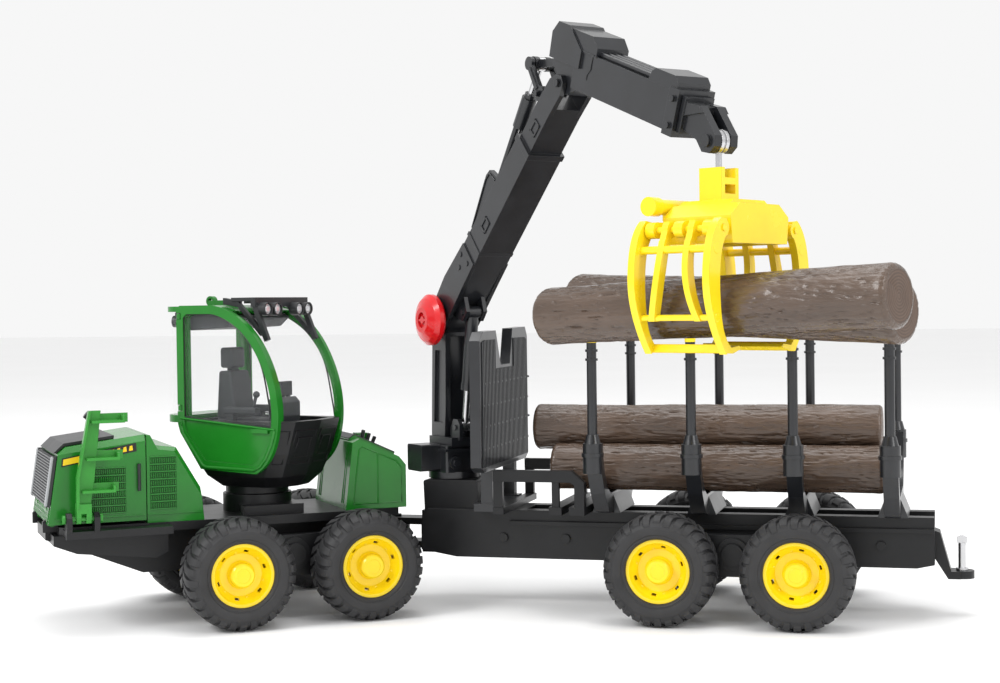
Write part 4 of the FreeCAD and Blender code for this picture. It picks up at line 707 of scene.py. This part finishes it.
roof_lining = Form()
roof_lining.prism([(-34.5, 197), (-2, 199), (6, 205.5), (2, 208), (-34.5, 208.4)], "y", -29.6, 33.6)
roof_lining.done("cab_headliner", CAB, "cab", SEAT, "seat_grey", bevel=1.0)

LAMP_BACK, LAMP_RIM = (-55.0, -22, 203.4), (-50.5, -20.8, 203.4)
LAMP_FRONT = (-47.0, -19.8, 203.4)
bay_lamp = Form()
bay_lamp.rod(LAMP_BACK, LAMP_RIM, 4.2, 4.2, 24)
bay_lamp.rod(LAMP_RIM, LAMP_FRONT, 4.2, 2.6, 24)
bay_lamp.box(-53.5, -49, -22.5, -19.5, 206.6, 209.8)
bay_lamp.done("bay_lamp", CAB, "cab", GREY, "trim_grey", bevel=0.3)

ROOF_LAMP_Z = 211.4
lamp_glass = Form()
for y in (-22.0, -11.0, 14.0, 24.0):
    lamp_glass.rod((28.15, y, ROOF_LAMP_Z), (28.7, y, ROOF_LAMP_Z), 3.65, 3.65, 28)
    lamp_glass.rod((28.6, y, ROOF_LAMP_Z), (29.3, y, ROOF_LAMP_Z), 2.6, 1.9, 24)
lamp_glass.done("roof_lamp_glasses", CAB, "cab", LENS, "trim_grey", bevel=0.15)


# ---- crane, headboard and grapple trim -----------------------------------------------------
boom_trim = Form()
boom_trim.tube(at_y(-11.9, ((80, 13.4), (116, 23.4), (122.5, 22.6), (124.5, 13.6))), 0.55)
boom_trim.both_sides()
for x, z in ((10, 0), (50, 4), (60, -2), (58, 9)):
    boom_trim.rod((x, -14.6, z), (x, 14.6, z), 2.0, 2.0, 18)
for x, half in ((96, 13.7), (184, 12.7)):
    boom_trim.box(x - 5, x + 5, -half, half, -4, -2.6)
    boom_trim.box(x - 5, x + 5, -half, half, 2.2, 3.6)
    boom_trim.box(x - 5, x - 3.6, -half, half, -4, 3.6)
    boom_trim.box(x + 3.6, x + 5, -half, half, -4, 3.6)
boom_trim.done("boom_ridges_and_bosses", BOOM, "boom", CRANE_BLACK, "crane_black", bevel=0.2)

jib_seam = Form()
jib_seam.tube([(34, -11.1, 24.3), (34, -11.2, 16), (31, -11.2, 12.5), (31, -11.1, 9)], 0.4)
jib_seam.both_sides()
jib_seam.box(4, 36, -11.9, 11.9, 24.8, 25.6)
jib_seam.done("jib_seams", JIB, "jib", CRANE_BLACK, "crane_black")

RIBS, RIB_START, RIB_PITCH, RIB_HALF, RIB_FOOT = 34, -61.05, 3.7, 0.75, 100.5
NOTCH_FROM, NOTCH_TO, NOTCH_Z, BOARD_Z = -26, 24, 167.5, 188.0
SLOPE_FROM, SLOPE = 56, 0.25
ribs = Form()
for k in range(RIBS):
    y = RIB_START + RIB_PITCH * k
    if NOTCH_FROM < y < NOTCH_TO:
        high = NOTCH_Z
    else:
        high = BOARD_Z - SLOPE * max(0.0, abs(y) - SLOPE_FROM)
    for x0, x1 in ((-168.8, -167.5), (-176.9, -175.8)):
        ribs.box(x0, x1, y - RIB_HALF, y + RIB_HALF, RIB_FOOT, high)
ribs.done("headboard_ribs", WAGON, "wagon", CRANE_BLACK, "crane_black", bevel=0.25)

LIP = [(-33.6, -117.2), (-31.4, -112.6), (-30.0, -112.6), (-31.0, -117.4)]
opposite = GRAPPLE @ Matrix.Rotation(math.pi, 4, "Z")
for tine_name, tine_place in (("tine_near", GRAPPLE), ("tine_far", opposite)):
    lip = Form()
    lip.prism(LIP, "x", -23.0, 23.0)
    for x in (-27.4, 22.4):
        lip.rod((x, -42.0, -61), (x + 5.0, -42.0, -61), 3.2, 3.2, 20)
        lip.rod((x, -42.2, -98), (x + 5.0, -42.2, -98), 2.4, 2.4, 20)
    lip.done(tine_name + "_lip_and_bosses", tine_place, tine_name, GRAPPLE_YELLOW, "grapple_yellow",
             bevel=0.3)

RIVETS_PER_ROW, RIVET_START, RIVET_PITCH, RIVET_STAGGER = 12, -59.2, 11.1, 3.7
rivets = Form()
for row, z in enumerate((113.0, 128.5, 143.0, 158.0)):
    for k in range(RIVETS_PER_ROW):
        y = RIVET_START + RIVET_PITCH * k + (row % 2) * RIVET_STAGGER
        rivets.rod((-168.6, y, z), (-167.4, y, z), 0.85, 0.6, 10)
rivets.done("headboard_rivets", WAGON, "wagon", GREY, "crane_black")


# ---- stage, light and camera ---------------------------------------------------------------
FLOOR_HALF = 12.0
AMBIENT = 0.93
floor_mesh = bpy.data.meshes.new("floor")
sheet = bmesh.new()
bmesh.ops.create_grid(sheet, x_segments=1, y_segments=1, size=FLOOR_HALF)
sheet.to_mesh(floor_mesh)
sheet.free()
floor = bpy.data.objects.new("floor", floor_mesh)
bpy.context.scene.collection.objects.link(floor)
floor_mesh.materials.append(moulded("floor_paper", (0.93, 0.93, 0.93), 0.75, vary=0.01, patch=2.0,
                                    edge=0.0))

world = bpy.data.worlds.new("studio")
bpy.context.scene.world = world
world.use_nodes = True
background = world.node_tree.nodes["Background"]
background.inputs["Color"].default_value = (1.0, 1.0, 1.0, 1.0)
background.inputs["Strength"].default_value = AMBIENT


def soft_light(name, at, target, size, power):
    """A rectangular area light at a point, aimed at another; lengths in metres, power in watts."""
    data = bpy.data.lights.new(name, "AREA")
    data.shape = "RECTANGLE"
    data.size, data.size_y = size
    data.energy = power
    lamp = bpy.data.objects.new(name, data)
    lamp.location = at
    lamp.rotation_euler = (Vector(target) - Vector(at)).to_track_quat("-Z", "Y").to_euler()
    bpy.context.scene.collection.objects.link(lamp)


soft_light("key_light", (-1.3, -1.5, 1.7), (0.0, 0.0, 0.15), (0.9, 0.9), 28.0)
soft_light("side_light", (1.7, -0.9, 1.2), (0.0, 0.0, 0.15), (0.7, 1.1), 13.0)
soft_light("top_light", (0.0, 0.3, 2.0), (0.0, 0.0, 0.0), (1.6, 1.0), 16.0)

CAMERA_AT = WAGON @ Vector((0.14057, -1.16230, 0.21056))
YAW, PITCH, ROLL = 0.262514, -0.020568, 0.013699
SENSOR_MM, FOCAL_MM, CLIP_START = 36.0, 60.35, 0.01
forward = Vector((-math.sin(YAW) * math.cos(PITCH), math.cos(YAW) * math.cos(PITCH),
                  math.sin(PITCH)))
level = forward.cross(Vector((0, 0, 1))).normalized()
rise = level.cross(forward)
right = level * math.cos(ROLL) - rise * math.sin(ROLL)
up = level * math.sin(ROLL) + rise * math.cos(ROLL)
camera_data = bpy.data.cameras.new("camera")
camera_data.sensor_width = SENSOR_MM
camera_data.lens = FOCAL_MM
camera_data.clip_start = CLIP_START
camera = bpy.data.objects.new("camera", camera_data)
camera.matrix_world = Matrix((
    (right.x, up.x, -forward.x, CAMERA_AT.x), (right.y, up.y, -forward.y, CAMERA_AT.y),
    (right.z, up.z, -forward.z, CAMERA_AT.z), (0, 0, 0, 1)))
bpy.context.scene.collection.objects.link(camera)
bpy.context.scene.camera = camera
bpy.context.scene.view_settings.view_transform = "Standard"

bpy.context.view_layer.update()
